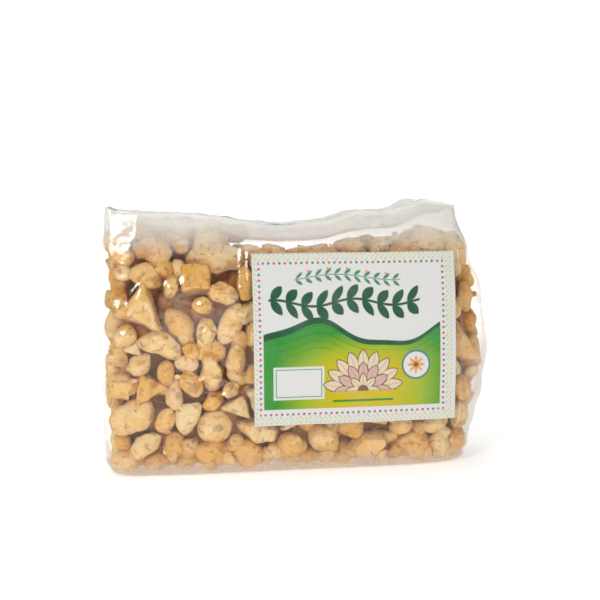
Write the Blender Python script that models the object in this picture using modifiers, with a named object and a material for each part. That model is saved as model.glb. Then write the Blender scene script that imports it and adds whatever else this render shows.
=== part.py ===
"""A clear film bag of dried baobab pulp pieces, standing on its long side, with a paper label.

Metres, +Z up. X runs along the bag from its folded bottom (left) to its folded mouth (right), the labelled
front faces -Y, and the origin is the middle of the flat strip that the bag stands on. The driving dimensions
are in millimetres.
"""

import math

import bmesh
import bpy
import numpy as np
from mathutils import Matrix, Vector
from mathutils.bvhtree import BVHTree

MM = 0.001

# Half of the bag's section seen from its end, as (half depth, share of the crest's height): from the middle
# of the base, up the front and over the crest to the middle of the sunk gusset
SECTION = (
    (0.0, 0.0), (10.0, 0.0), (19.0, 0.0), (23.6, 0.011), (26.8, 0.050), (28.3, 0.14), (29.2, 0.28), (29.5, 0.42),
    (28.7, 0.56), (26.6, 0.70), (23.4, 0.82), (20.2, 0.91), (17.6, 0.975), (16.0, 1.0), (14.2, 0.982),
    (10.0, 0.945), (5.0, 0.93), (0.0, 0.925),
)
CREST_STEP = 13

# Height of the crest along the bag, and how far the ends reach at each height
CREST_LINE = (
    (-95, 127.0), (-60, 125.5), (-5, 120.0), (12, 121.0), (38, 126.0), (52, 126.0), (73, 131.0), (95, 127.0),
)
LEFT_EDGE = ((0, 88.0), (2, 91.5), (7, 94.2), (20, 95.0), (60, 95.0), (100, 94.0), (131, 91.5))
RIGHT_EDGE = (
    (0, 80.0), (2, 84.0), (8, 87.0), (20, 89.0), (38, 92.5), (56, 95.0), (84, 92.5), (104, 87.0), (122, 81.0),
    (131, 77.0),
)
LEFT_SQUARENESS = 7.0
RIGHT_SQUARENESS = 4.5
FILM_WALL = 0.5
FILM_COLUMNS = 32

# What fills the bag is lower than the film, with a mound on top
FILL_SHARE = 0.90
FILL_WALL_UP_TO = 0.80
MOUND = ((20.5, 0.945), (16.0, 0.98), (9.0, 0.995), (0.0, 1.0))
FILL_COLUMNS = 26
FILM_CLEARANCE = 1.2
CORE_DEPTH = 7.0
CORE_COLUMNS = 10

# The label, as laid flat, and where its middle sits on the bag's front
LABEL_SIZE = (97.0, 80.0)
LABEL_CENTRE = (24.5, 64.0)
LABEL_STEPS = (18, 10)
LABEL_THICK = 0.35
SHEET_LIFT = 0.7

# The mouth, folded flat over the back, the slit that it covers and the tape that holds it
FLAP_SIZE = (44.0, 86.0)
FLAP_CENTRE = (48.0, 60.0)
FLAP_STEPS = (9, 9)
FLAP_THICK = 0.7
SLIT_SIZE = (1.4, 66.0)
SLIT_CENTRE = (62.0, 60.0)
TAPE_SIZE = (36.0, 22.0)
TAPE_CENTRE = (28.0, 62.0)
TAPE_STEPS = (12, 4)
TAPE_THICK = 0.4
CLIMB_LENGTH = 5.0

# The pulp pieces that fill the rest of the bag's surface
FILLERS = 220
SETTLE_ROUNDS = 200
PIECE_GAP = 0.6
SEED = 20
KINDS = ("pip", "chunk", "bean", "wedge", "block", "slab")
KIND_SHARES = (0.36, 0.34, 0.09, 0.10, 0.05, 0.06)

# Pieces that show best, placed as seen: kind, x, height, length, width, slant in degrees, and how far back
# from the front film the piece starts
SHOWN_PIECES = (
    ("chunk", -68.0, 105.0, 21.0, 14.5, -63, 1),
    ("wedge", -38.5, 102.5, 33.0, 13.0, -3, 0),
    ("block", -50.0, 92.5, 14.5, 13.5, 2, 0),
    ("chunk", -72.5, 93.0, 18.0, 12.0, -20, 0),
    ("slab", -73.5, 78.5, 25.0, 16.0, 108, 0),
    ("chunk", -47.0, 80.0, 13.0, 9.5, -15, 0),
    ("chunk", -36.5, 85.5, 14.5, 11.5, -10, 0),
    ("pip", -57.0, 71.5, 19.0, 11.5, -50, 2),
    ("chunk", -45.5, 68.0, 17.0, 10.5, 72, 0),
    ("pip", -35.0, 70.5, 23.0, 11.0, 65, 1),
    ("chunk", -28.0, 90.0, 19.0, 10.0, 85, 1),
    ("pip", -84.0, 83.5, 20.0, 10.5, 80, 2),
    ("bean", -67.5, 62.5, 24.0, 12.0, -25, 0),
    ("pip", -82.5, 67.0, 11.0, 10.5, 0, 1),
    ("chunk", -75.5, 53.5, 15.0, 13.5, 45, 0),
    ("pip", -64.5, 49.0, 12.5, 9.5, 90, 1),
    ("pip", -53.0, 44.0, 16.0, 10.5, -60, 0),
    ("wedge", -44.0, 50.0, 22.0, 12.0, 100, 0),
    ("chunk", -32.0, 56.0, 16.5, 12.0, 80, 1),
    ("chunk", -80.0, 29.0, 24.0, 16.5, 35, 0),
    ("bean", -54.5, 28.0, 19.0, 11.0, 65, 0),
    ("chunk", -42.5, 23.5, 17.5, 15.5, 30, 0),
    ("pip", -65.0, 27.0, 13.5, 9.5, 75, 1),
    ("chunk", -74.0, 15.0, 17.0, 11.5, 35, 1),
    ("pip", -60.5, 15.0, 13.0, 12.5, 20, 2),
    ("wedge", -20.5, 20.0, 22.0, 13.5, 168, 0),
    ("chunk", -8.0, 13.0, 16.5, 14.5, 55, 1),
    ("chunk", 9.5, 15.0, 19.0, 15.5, -35, 0),
    ("slab", 79.5, 58.0, 26.0, 13.5, 122, 1),
    ("chunk", 79.0, 37.0, 14.5, 12.0, -60, 2),
    ("chunk", 56.0, 10.5, 19.0, 15.0, -20, 1),
    ("pip", 47.0, 20.0, 12.5, 11.0, 30, 1),
    ("wedge", 32.0, 11.0, 24.0, 12.0, 27, 0),
    ("chunk", 64.0, 20.0, 19.0, 11.5, 20, 1),
    ("chunk", 71.0, 94.0, 13.5, 11.5, 20, 3),
    ("pip", 80.0, 81.0, 17.0, 9.5, 82, 3),
)


def along_line(points, at):
    """The value at each place on a line of (place, value) points, eased between them."""
    places, values = np.array(points, float).T
    at = np.clip(at, places[0], places[-1])
    left = np.clip(np.searchsorted(places, at, side="right") - 1, 0, len(places) - 2)
    share = (at - places[left]) / (places[left + 1] - places[left])
    return values[left] + (values[left + 1] - values[left]) * share ** 2 * (3 - 2 * share)


def filling_section():
    """The section of what fills the bag: the film's wall up to a height, and then the mound."""
    wall = [(depth, share / FILL_SHARE) for depth, share in SECTION[:CREST_STEP] if share <= FILL_WALL_UP_TO]
    return tuple(wall) + MOUND


def skin_point(section, crest_step, fill, u, step, inset):
    """A point of the front half of a skin, at u along the bag (-1 to 1) and a step round its section."""
    depth, share = section[step]
    end = CREST_LINE[0][0] if u < 0 else CREST_LINE[-1][0]
    crest = float(along_line(CREST_LINE, abs(u) * end)) * fill
    if step > crest_step:
        share += abs(u) ** 6 * (1 - share)
    height = min(max(crest * share, inset), crest - inset)
    edge = LEFT_EDGE if u < 0 else RIGHT_EDGE
    squareness = LEFT_SQUARENESS if u < 0 else RIGHT_SQUARENESS
    taper = (1 - min(abs(u), 1.0) ** squareness) ** (1 / squareness)
    return Vector((u * (float(along_line(edge, height)) - inset), -max(depth - inset, 0.0) * taper, height))


def column_places(count):
    """Places along the bag from -1 to 1, closer together towards its rounded ends."""
    even = np.linspace(-1, 1, count)
    return np.sin(even * np.pi / 2) * 0.62 + even * 0.38


def skin_mesh(section, crest_step, fill, columns, steps, inset=0.0):
    """A closed skin in millimetres: a grid laid on the front half, and its mirror image as the back."""
    bm = bmesh.new()
    bmesh.ops.create_grid(bm, x_segments=columns, y_segments=len(steps) - 1, size=0.5)
    places = column_places(columns + 1)
    for v in bm.verts:
        u = float(places[round((v.co.x + 0.5) * columns)])
        step = steps[round((v.co.y + 0.5) * (len(steps) - 1))]
        v.co = skin_point(section, crest_step, fill, u, step, inset)
        if v.is_boundary and abs(v.co.y) < 0.02:
            v.co.y = 0.0
    bmesh.ops.remove_doubles(bm, verts=bm.verts, dist=0.05)
    bmesh.ops.mirror(bm, geom=bm.verts[:] + bm.edges[:] + bm.faces[:], axis="Y", merge_dist=0.01)
    bmesh.ops.dissolve_degenerate(bm, dist=0.01, edges=bm.edges)
    bmesh.ops.recalc_face_normals(bm, faces=bm.faces)
    return bm


def new_object(name, bm, collection, mat, smooth=True):
    """Makes an object from a bmesh in millimetres."""
    bmesh.ops.scale(bm, verts=bm.verts, vec=Vector((MM, MM, MM)))
    mesh = bpy.data.meshes.new(name)
    bm.to_mesh(mesh)
    bm.free()
    mesh.materials.append(mat)
    if smooth:
        mesh.shade_smooth()
        mesh.set_sharp_from_angle(angle=math.radians(35))
    obj = bpy.data.objects.new(name, mesh)
    collection.objects.link(obj)
    return obj


def material(name, colour, roughness, alpha=1.0):
    mat = bpy.data.materials.new(name)
    mat.use_nodes = True
    shader = mat.node_tree.nodes["Principled BSDF"]
    shader.inputs["Base Color"].default_value = (*colour, 1.0)
    shader.inputs["Roughness"].default_value = roughness
    shader.inputs["Metallic"].default_value = 0.0
    shader.inputs["Alpha"].default_value = alpha
    return mat


def apply_modifiers(obj):
    graph = bpy.context.evaluated_depsgraph_get()
    mesh = bpy.data.meshes.new_from_object(obj.evaluated_get(graph))
    obj.modifiers.clear()
    obj.data = mesh


def boolean(obj, operation, other, solver="EXACT"):
    """Joins or cuts with an object, or with all the objects of a collection."""
    cut = obj.modifiers.new(operation.lower(), "BOOLEAN")
    cut.operation = operation
    cut.solver = solver
    if isinstance(other, bpy.types.Collection):
        cut.operand_type = "COLLECTION"
        cut.collection = other
    else:
        cut.object = other
    apply_modifiers(obj)


def add_wall(obj, thick, outwards):
    wall = obj.modifiers.new("wall", "SOLIDIFY")
    wall.thickness = thick * MM
    wall.offset = 1.0 if outwards else -1.0
    wall.use_even_offset = True


def draped_sheet(name, skin, centre, size, steps, thick, side, collection, mat, climb=(0.0, 0.0)):
    """A thin sheet that follows the bag's front (side -1) or back (side 1).

    climb is the x of an edge that the sheet climbs onto from the left, and how high that edge is.
    """
    bm = bmesh.new()
    bmesh.ops.create_grid(bm, x_segments=steps[0], y_segments=steps[1], size=0.5)
    for v in bm.verts:
        start = Vector((centre[0] + v.co.x * size[0], side * 200.0, centre[1] + v.co.y * size[1]))
        spot, outward = skin.ray_cast(start, Vector((0, -side, 0)))[:2]
        climbed = min(max((start.x - climb[0] + CLIMB_LENGTH) / (CLIMB_LENGTH - 1.0), 0.0), 1.0)
        v.co = spot + outward * (SHEET_LIFT + climb[1] * climbed)
    bmesh.ops.recalc_face_normals(bm, faces=bm.faces)
    if sum(f.normal.y for f in bm.faces) * side < 0:
        bmesh.ops.reverse_faces(bm, faces=bm.faces)
    sheet = new_object(name, bm, collection, mat)
    add_wall(sheet, thick, outwards=True)
    return sheet


def film_mesh():
    steps = [s for s in range(len(SECTION)) if s not in (1, 16)]
    return skin_mesh(SECTION, CREST_STEP, 1.0, FILM_COLUMNS, steps)


def filling_mesh(inset, columns, every=1):
    """The outside of what fills the bag, or a core inside it, with every so many of its section's knots."""
    section = filling_section()
    steps = sorted({0, *range(2, len(section) - 1, every), len(section) - 1})
    return skin_mesh(section, len(section) - 1, FILL_SHARE, columns, steps, inset)


def build_film(parts, cutters, mat):
    """The bag itself: a thin closed skin with a slit in its back, where the mouth opens under its flap."""
    outside = film_mesh()
    skin = BVHTree.FromBMesh(outside)
    film = new_object("film_bag", outside, parts, mat)
    add_wall(film, FILM_WALL, outwards=False)
    bm = bmesh.new()
    bmesh.ops.create_cube(bm, size=1.0)
    bmesh.ops.scale(bm, verts=bm.verts, vec=Vector((SLIT_SIZE[0], 10.0, SLIT_SIZE[1])))
    behind = Vector((SLIT_CENTRE[0], 200.0, SLIT_CENTRE[1]))
    bmesh.ops.translate(bm, verts=bm.verts, vec=skin.ray_cast(behind, Vector((0, -1, 0)))[0])
    slit = new_object("slit", bm, cutters, mat, smooth=False)
    slit.hide_render = True
    slit.display_type = "WIRE"
    cut = film.modifiers.new("slit", "BOOLEAN")
    cut.operation = "DIFFERENCE"
    cut.object = slit
    return skin


def kind_shape(bm, kind, half, rng):
    """A rough polyhedron of a kind: half holds its half length along x, half width along y, half thickness."""
    loose = {"block": 0.07, "wedge": 0.09, "slab": 0.06, "pip": 0.09, "bean": 0.07, "chunk": 0.19}[kind]
    if kind == "block":
        bmesh.ops.create_cube(bm, size=1.75)
    elif kind == "slab":
        bmesh.ops.create_cone(bm, cap_ends=True, segments=3, radius1=1.3, radius2=1.0, depth=1.8)
    elif kind == "wedge":
        bmesh.ops.create_cone(bm, cap_ends=True, segments=6, radius1=1.05, radius2=0.72, depth=1.8)
    else:
        bmesh.ops.create_icosphere(bm, subdivisions=1, radius=1.05)
    bmesh.ops.triangulate(bm, faces=bm.faces)
    for v in bm.verts:
        v.co *= 1.0 + loose * rng.uniform(-1.0, 0.4)
        v.co += Vector(rng.uniform(-loose, loose, 3)) * 0.4
        if kind == "wedge":
            v.co.y *= 1.0 - 0.6 * max(v.co.x, 0.0) ** 1.2
        if kind == "bean":
            v.co.y += 0.3 - 0.75 * v.co.x ** 2
    bmesh.ops.scale(bm, verts=bm.verts, vec=Vector(half))


def turn_matrix(along, outward):
    """The rotation that puts a piece's thickness along outward and its length as near to along as it can."""
    outward = outward / np.linalg.norm(outward)
    along = along - outward * (along @ outward)
    along = along / np.linalg.norm(along)
    return np.stack([along, np.cross(outward, along), outward], axis=1)


def random_turn(rng, most):
    axis = Vector(rng.normal(size=3))
    return np.array(Matrix.Rotation(math.radians(rng.uniform(-most, most)), 3, axis))


def shown_pieces(rng):
    pieces = []
    for kind, x, z, length, width, slant, behind in SHOWN_PIECES:
        angle = math.radians(slant)
        thick = width * {"slab": 0.5, "wedge": 0.7, "block": 0.8}.get(kind, 0.72)
        pieces.append({
            "kind": kind, "half": np.array([length, width, thick]) / 2, "place": np.array([x, -30.0, z]),
            "along": np.array([math.cos(angle), 0.0, math.sin(angle)]), "tilt": random_turn(rng, 7),
            "behind": float(behind), "shown": True, "seed": int(rng.integers(1 << 30)),
        })
    return pieces


def filler_pieces(rng, envelope):
    """Pieces spread over the whole filling by the area of its faces, smaller where they show on the front."""
    envelope.faces.ensure_lookup_table()
    areas = np.cumsum([f.calc_area() for f in envelope.faces])
    pieces = []
    for _ in range(FILLERS):
        face = envelope.faces[int(np.searchsorted(areas, rng.random() * areas[-1]))]
        place = np.array(face.calc_center_median()) + rng.uniform(-3, 3, 3)
        in_front = face.normal.y < -0.5 and place[0] < LABEL_CENTRE[0] - LABEL_SIZE[0] / 2
        size = float(np.clip(rng.lognormal(math.log(13.5 if in_front else 17.5), 0.16), 10.0, 24.0))
        half = np.array([size, size * rng.uniform(0.68, 0.88), size * rng.uniform(0.58, 0.72)]) / 2
        pieces.append({
            "kind": str(rng.choice(KINDS, p=KIND_SHARES)), "half": half, "place": place,
            "along": rng.normal(size=3), "tilt": random_turn(rng, 18), "behind": float(rng.uniform(0, 1.5)),
            "shown": False, "seed": int(rng.integers(1 << 30)),
        })
    return pieces


def seat_piece(piece, envelope):
    """Turns a piece to the film and puts it against it, or as far behind it as it should be."""
    spot, normal = envelope.find_nearest(Vector(piece["place"]))[:2]
    outward = np.array(normal)
    piece["turn"] = turn_matrix(piece["along"], outward) @ piece["tilt"]
    depth = piece["half"][2] + piece["behind"]
    piece["place"] = np.array(spot) - outward * depth


def settle(pieces, envelope):
    """Pushes pieces apart along the film until they lie beside each other."""
    angles = np.arange(6) * np.pi / 3
    rim = np.stack([np.cos(angles), np.sin(angles), 0 * angles], axis=1)
    rim = np.concatenate([np.zeros((1, 3)), rim])
    home = np.array([p["place"] for p in pieces])
    shown = np.array([p["shown"] for p in pieces])
    mobility = np.where(shown, 0.05, 1.0)
    halves = np.array([p["half"] for p in pieces])
    radii = halves[:, 2] * 0.95
    spread = np.stack([halves[:, 0] - radii, halves[:, 1] - radii, 0 * radii], axis=1)
    for _ in range(SETTLE_ROUNDS):
        for piece in pieces:
            seat_piece(piece, envelope)
        centres = np.array([p["place"] for p in pieces])
        balls = np.einsum("nij,nkj->nki", np.array([p["turn"] for p in pieces]), rim[None] * spread[:, None])
        balls += centres[:, None]
        near = np.linalg.norm(centres[:, None] - centres[None], axis=2)
        first, second = np.nonzero(np.triu(near < halves[:, None, 0] + halves[None, :, 0], 1))
        apart = balls[first][:, :, None] - balls[second][:, None]
        overlap = (radii[first] + radii[second])[:, None, None] - np.linalg.norm(apart, axis=3)
        deep = np.maximum(overlap.reshape(len(first), -1).max(axis=1), 0)
        way = centres[first] - centres[second]
        way /= np.maximum(np.linalg.norm(way, axis=1, keepdims=True), 1e-6)
        weight = (mobility[first] / (mobility[first] + mobility[second]))[:, None]
        move = np.zeros_like(centres)
        count = np.ones(len(centres))
        np.add.at(move, first, way * deep[:, None] * weight)
        np.add.at(move, second, -way * deep[:, None] * (1 - weight))
        np.add.at(count, first, deep > 0)
        np.add.at(count, second, deep > 0)
        move *= 1.3 / np.sqrt(count)[:, None]
        move += (home - centres) * np.where(shown, 0.2, 0.0)[:, None] * np.array([1, 0, 1])
        for piece, step in zip(pieces, move):
            piece["place"] = piece["place"] + step
    for piece in pieces:
        seat_piece(piece, envelope)


def piece_mesh(piece, grow=0.0):
    """A piece's polyhedron in its place, in millimetres, with its corners moved out by grow."""
    bm = bmesh.new()
    kind_shape(bm, piece["kind"], piece["half"], np.random.default_rng(piece["seed"]))
    bmesh.ops.recalc_face_normals(bm, faces=bm.faces)
    bm.normal_update()
    if grow:
        for v in bm.verts:
            v.co += v.normal * grow
    place = Matrix(piece["turn"].tolist()).to_4x4()
    place.translation = Vector(piece["place"])
    bmesh.ops.transform(bm, matrix=place, verts=bm.verts)
    return bm


def clear_of_film(piece, envelope):
    """Moves a piece inwards until its points are all behind the film."""
    for _ in range(12):
        bm = piece_mesh(piece)
        worst, way = 0.0, None
        for v in bm.verts:
            spot, normal = envelope.find_nearest(v.co)[:2]
            out = (v.co - spot).dot(normal)
            if out > worst:
                worst, way = out, normal
        bm.free()
        if way is None:
            return
        piece["place"] = piece["place"] - np.array(way) * (worst + 0.02)


def largest_body(obj):
    """Drops the loose scraps that a cut has left."""
    bm = bmesh.new()
    bm.from_mesh(obj.data)
    left, bodies = set(bm.verts), []
    while left:
        stack = [left.pop()]
        body = set(stack)
        while stack:
            for edge in stack.pop().link_edges:
                fresh = set(edge.verts) & left
                left -= fresh
                body |= fresh
                stack.extend(fresh)
        bodies.append(body)
    bodies.sort(key=len)
    bmesh.ops.delete(bm, geom=[v for body in bodies[:-1] for v in body], context="VERTS")
    bm.to_mesh(obj.data)
    bm.free()
    return len(bodies)


def drop_collection(collection):
    for obj in list(collection.objects):
        bpy.data.objects.remove(obj, do_unlink=True)
    bpy.data.collections.remove(collection)


def build_pieces(parts, pieces, pulp):
    """The pieces that show best, each its own solid, cut clear of the ones before it."""
    done = []
    for number, piece in enumerate((p for p in pieces if p["shown"]), 1):
        obj = new_object(f"pulp_piece_{number:02d}", piece_mesh(piece), parts, pulp, smooth=False)
        for other in done:
            if np.linalg.norm(piece["place"] - other["place"]) > piece["half"][0] + other["half"][0]:
                continue
            cutter = new_object("grown", piece_mesh(other, PIECE_GAP), parts, pulp, smooth=False)
            boolean(obj, "DIFFERENCE", cutter)
            bpy.data.objects.remove(cutter, do_unlink=True)
        largest_body(obj)
        done.append(piece)


def build_mass(parts, pieces, pulp):
    """The rest of the pieces, joined to the core that they stand out of, and cut clear of the shown ones."""
    mass = new_object("pulp_mass", filling_mesh(CORE_DEPTH, CORE_COLUMNS, every=2), parts, pulp, smooth=False)
    joined = bpy.data.collections.new("joined")
    cleared = bpy.data.collections.new("cleared")
    for collection in (joined, cleared):
        bpy.context.scene.collection.children.link(collection)
    for piece in pieces:
        collection, grow = (cleared, PIECE_GAP) if piece["shown"] else (joined, 0.0)
        new_object("one", piece_mesh(piece, grow), collection, pulp, smooth=False)
    boolean(mass, "UNION", joined, solver="MANIFOLD")
    boolean(mass, "DIFFERENCE", cleared, solver="MANIFOLD")
    drop_collection(joined)
    drop_collection(cleared)
    return largest_body(mass)


def main():
    for obj in list(bpy.data.objects):
        bpy.data.objects.remove(obj, do_unlink=True)
    parts = bpy.data.collections.new("bag of pulp pieces")
    cutters = bpy.data.collections.new("cutters")
    for collection in (parts, cutters):
        bpy.context.scene.collection.children.link(collection)
    clear_film = material("clear film", (0.86, 0.87, 0.88), 0.15, alpha=0.3)
    paper = material("label paper", (0.80, 0.78, 0.30), 0.55)
    tape = material("clear tape", (0.90, 0.90, 0.86), 0.2, alpha=0.6)
    pulp = material("pulp", (0.62, 0.42, 0.22), 0.9)

    skin = build_film(parts, cutters, clear_film)
    draped_sheet("paper_label", skin, LABEL_CENTRE, LABEL_SIZE, LABEL_STEPS, LABEL_THICK, -1, parts, paper)
    draped_sheet("mouth_flap", skin, FLAP_CENTRE, FLAP_SIZE, FLAP_STEPS, FLAP_THICK, 1, parts, clear_film)
    flap_edge = FLAP_CENTRE[0] - FLAP_SIZE[0] / 2
    draped_sheet(
        "closure_tape", skin, TAPE_CENTRE, TAPE_SIZE, TAPE_STEPS, TAPE_THICK, 1, parts, tape,
        climb=(flap_edge, FLAP_THICK + SHEET_LIFT / 2))

    rng = np.random.default_rng(SEED)
    envelope_mesh = filling_mesh(FILM_CLEARANCE, FILL_COLUMNS)
    envelope = BVHTree.FromBMesh(envelope_mesh)
    pieces = shown_pieces(rng) + filler_pieces(rng, envelope_mesh)
    envelope_mesh.free()
    settle(pieces, envelope)
    for piece in pieces:
        clear_of_film(piece, envelope)
    build_pieces(parts, pieces, pulp)
    build_mass(parts, pieces, pulp)


main()
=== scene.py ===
# %% [markdown]
# # A clear bag of baobab pulp pieces
#
# The real object is a thin, clear film bag that stands on its long side. It is full of dried fruit pulp in
# pieces the size of almonds, and a printed paper label is stuck on its front. This lesson dresses the plain
# solids of that bag: it makes the pieces fine and chalky, drapes a crinkled film over them, and prints the
# label with nodes.

# %% Load the solids as a fixed frame
import math

import bmesh
import bpy
import numpy as np
from mathutils import Matrix, Vector, noise
from mathutils.bvhtree import BVHTree


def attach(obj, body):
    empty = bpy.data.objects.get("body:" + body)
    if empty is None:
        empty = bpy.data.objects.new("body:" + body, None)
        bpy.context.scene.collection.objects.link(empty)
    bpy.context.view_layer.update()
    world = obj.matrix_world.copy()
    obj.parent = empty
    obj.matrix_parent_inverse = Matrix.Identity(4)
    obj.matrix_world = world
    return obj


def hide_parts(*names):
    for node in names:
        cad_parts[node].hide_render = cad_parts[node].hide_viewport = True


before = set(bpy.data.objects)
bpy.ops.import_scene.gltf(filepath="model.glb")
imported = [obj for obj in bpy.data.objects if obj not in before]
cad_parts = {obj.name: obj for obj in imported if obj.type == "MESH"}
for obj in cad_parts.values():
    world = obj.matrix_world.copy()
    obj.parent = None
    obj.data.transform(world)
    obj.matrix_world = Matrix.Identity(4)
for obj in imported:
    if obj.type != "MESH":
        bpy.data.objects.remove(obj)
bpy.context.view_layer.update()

# %% [markdown]
# ## The form of the bag
#
# The solids were made from a few driving dimensions in millimetres, so the fine meshes start from the same
# ones. A section gives half of the bag as seen from its end, a line gives the height of its crest, and two
# more give the reach of its ends. Working in millimetres keeps the numbers readable. Each mesh is scaled to
# metres once, when its object is made.

# %% Driving dimensions of the bag
MM = 0.001
SECTION = (
    (0.0, 0.0), (10.0, 0.0), (19.0, 0.0), (23.6, 0.011), (26.8, 0.050), (28.3, 0.14), (29.2, 0.28),
    (29.5, 0.42), (28.7, 0.56), (26.6, 0.70), (23.4, 0.82), (20.2, 0.91), (17.6, 0.975), (16.0, 1.0),
    (14.2, 0.982), (10.0, 0.945), (5.0, 0.93), (0.0, 0.925),
)
CREST_STEP = 13
CREST_LINE = (
    (-95, 127.0), (-60, 125.5), (-5, 120.0), (12, 121.0), (38, 126.0), (52, 126.0), (73, 131.0), (95, 127.0),
)
LEFT_EDGE = ((0, 88.0), (2, 91.5), (7, 94.2), (20, 95.0), (60, 95.0), (100, 94.0), (131, 91.5))
RIGHT_EDGE = (
    (0, 80.0), (2, 84.0), (8, 87.0), (20, 89.0), (38, 92.5), (56, 95.0), (84, 92.5), (104, 87.0), (122, 81.0),
    (131, 77.0),
)
LEFT_SQUARENESS = 7.0
RIGHT_SQUARENESS = 4.5
FILL_SHARE = 0.90
FILL_WALL_UP_TO = 0.80
MOUND = ((20.5, 0.945), (16.0, 0.98), (9.0, 0.995), (0.0, 1.0))
FILL_COLUMNS = 26
FILM_CLEARANCE = 1.2
LABEL_SIZE = (97.0, 80.0)
LABEL_CENTRE = (24.5, 64.0)
FLAP_SIZE = (44.0, 86.0)
FLAP_CENTRE = (48.0, 60.0)
TAPE_SIZE = (36.0, 22.0)
TAPE_CENTRE = (28.0, 62.0)


def along_line(points, at):
    """The value at each place on a line of (place, value) points, eased between them."""
    places, values = np.array(points, float).T
    at = np.clip(at, places[0], places[-1])
    left = np.clip(np.searchsorted(places, at, side="right") - 1, 0, len(places) - 2)
    share = (at - places[left]) / (places[left + 1] - places[left])
    return values[left] + (values[left + 1] - values[left]) * share ** 2 * (3 - 2 * share)


print("crest over the middle:", round(float(along_line(CREST_LINE, 0.0)), 1), "mm")

# %% [markdown]
# ## A skin on the form
#
# A skin is a flat grid whose points are moved onto the front half of the form. Its mirror image is the back,
# and the two halves meet on the middle plane. The same function makes the film and, with another section and
# a small inset, the surface that the pieces lie against.

# %% Lay a grid on the form
def filling_section():
    """The section of what fills the bag: the film's wall up to a height, and then the mound."""
    wall = [(depth, share / FILL_SHARE) for depth, share in SECTION[:CREST_STEP] if share <= FILL_WALL_UP_TO]
    return tuple(wall) + MOUND


def skin_point(section, crest_step, fill, u, step, inset):
    """A point of the front half of a skin, at u along the bag (-1 to 1) and a step round its section."""
    depth, share = section[step]
    end = CREST_LINE[0][0] if u < 0 else CREST_LINE[-1][0]
    crest = float(along_line(CREST_LINE, abs(u) * end)) * fill
    if step > crest_step:
        share += abs(u) ** 6 * (1 - share)
    height = min(max(crest * share, inset), crest - inset)
    edge = LEFT_EDGE if u < 0 else RIGHT_EDGE
    squareness = LEFT_SQUARENESS if u < 0 else RIGHT_SQUARENESS
    taper = (1 - min(abs(u), 1.0) ** squareness) ** (1 / squareness)
    return Vector((u * (float(along_line(edge, height)) - inset), -max(depth - inset, 0.0) * taper, height))


def column_places(count):
    """Places along the bag from -1 to 1, closer together towards its rounded ends."""
    even = np.linspace(-1, 1, count)
    return np.sin(even * np.pi / 2) * 0.62 + even * 0.38


def close_by_mirror(bm):
    """Joins a front half to its mirror image, in millimetres."""
    for v in bm.verts:
        if v.is_boundary and abs(v.co.y) < 0.02:
            v.co.y = 0.0
    bmesh.ops.remove_doubles(bm, verts=bm.verts, dist=0.05)
    bmesh.ops.mirror(bm, geom=bm.verts[:] + bm.edges[:] + bm.faces[:], axis="Y", merge_dist=0.01)
    bmesh.ops.dissolve_degenerate(bm, dist=0.01, edges=bm.edges)
    bmesh.ops.recalc_face_normals(bm, faces=bm.faces)


def filling_mesh(inset, columns):
    """The outside of what fills the bag, as the solids have it."""
    section = filling_section()
    steps = [0, *range(2, len(section))]
    bm = bmesh.new()
    bmesh.ops.create_grid(bm, x_segments=columns, y_segments=len(steps) - 1, size=0.5)
    places = column_places(columns + 1)
    for v in bm.verts:
        u = float(places[round((v.co.x + 0.5) * columns)])
        step = steps[round((v.co.y + 0.5) * (len(steps) - 1))]
        v.co = skin_point(section, len(section) - 1, FILL_SHARE, u, step, inset)
    close_by_mirror(bm)
    return bm


envelope_mesh = filling_mesh(FILM_CLEARANCE, FILL_COLUMNS)
envelope = BVHTree.FromBMesh(envelope_mesh)
print("surface for the pieces to lie against:", len(envelope_mesh.faces), "faces")
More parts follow.
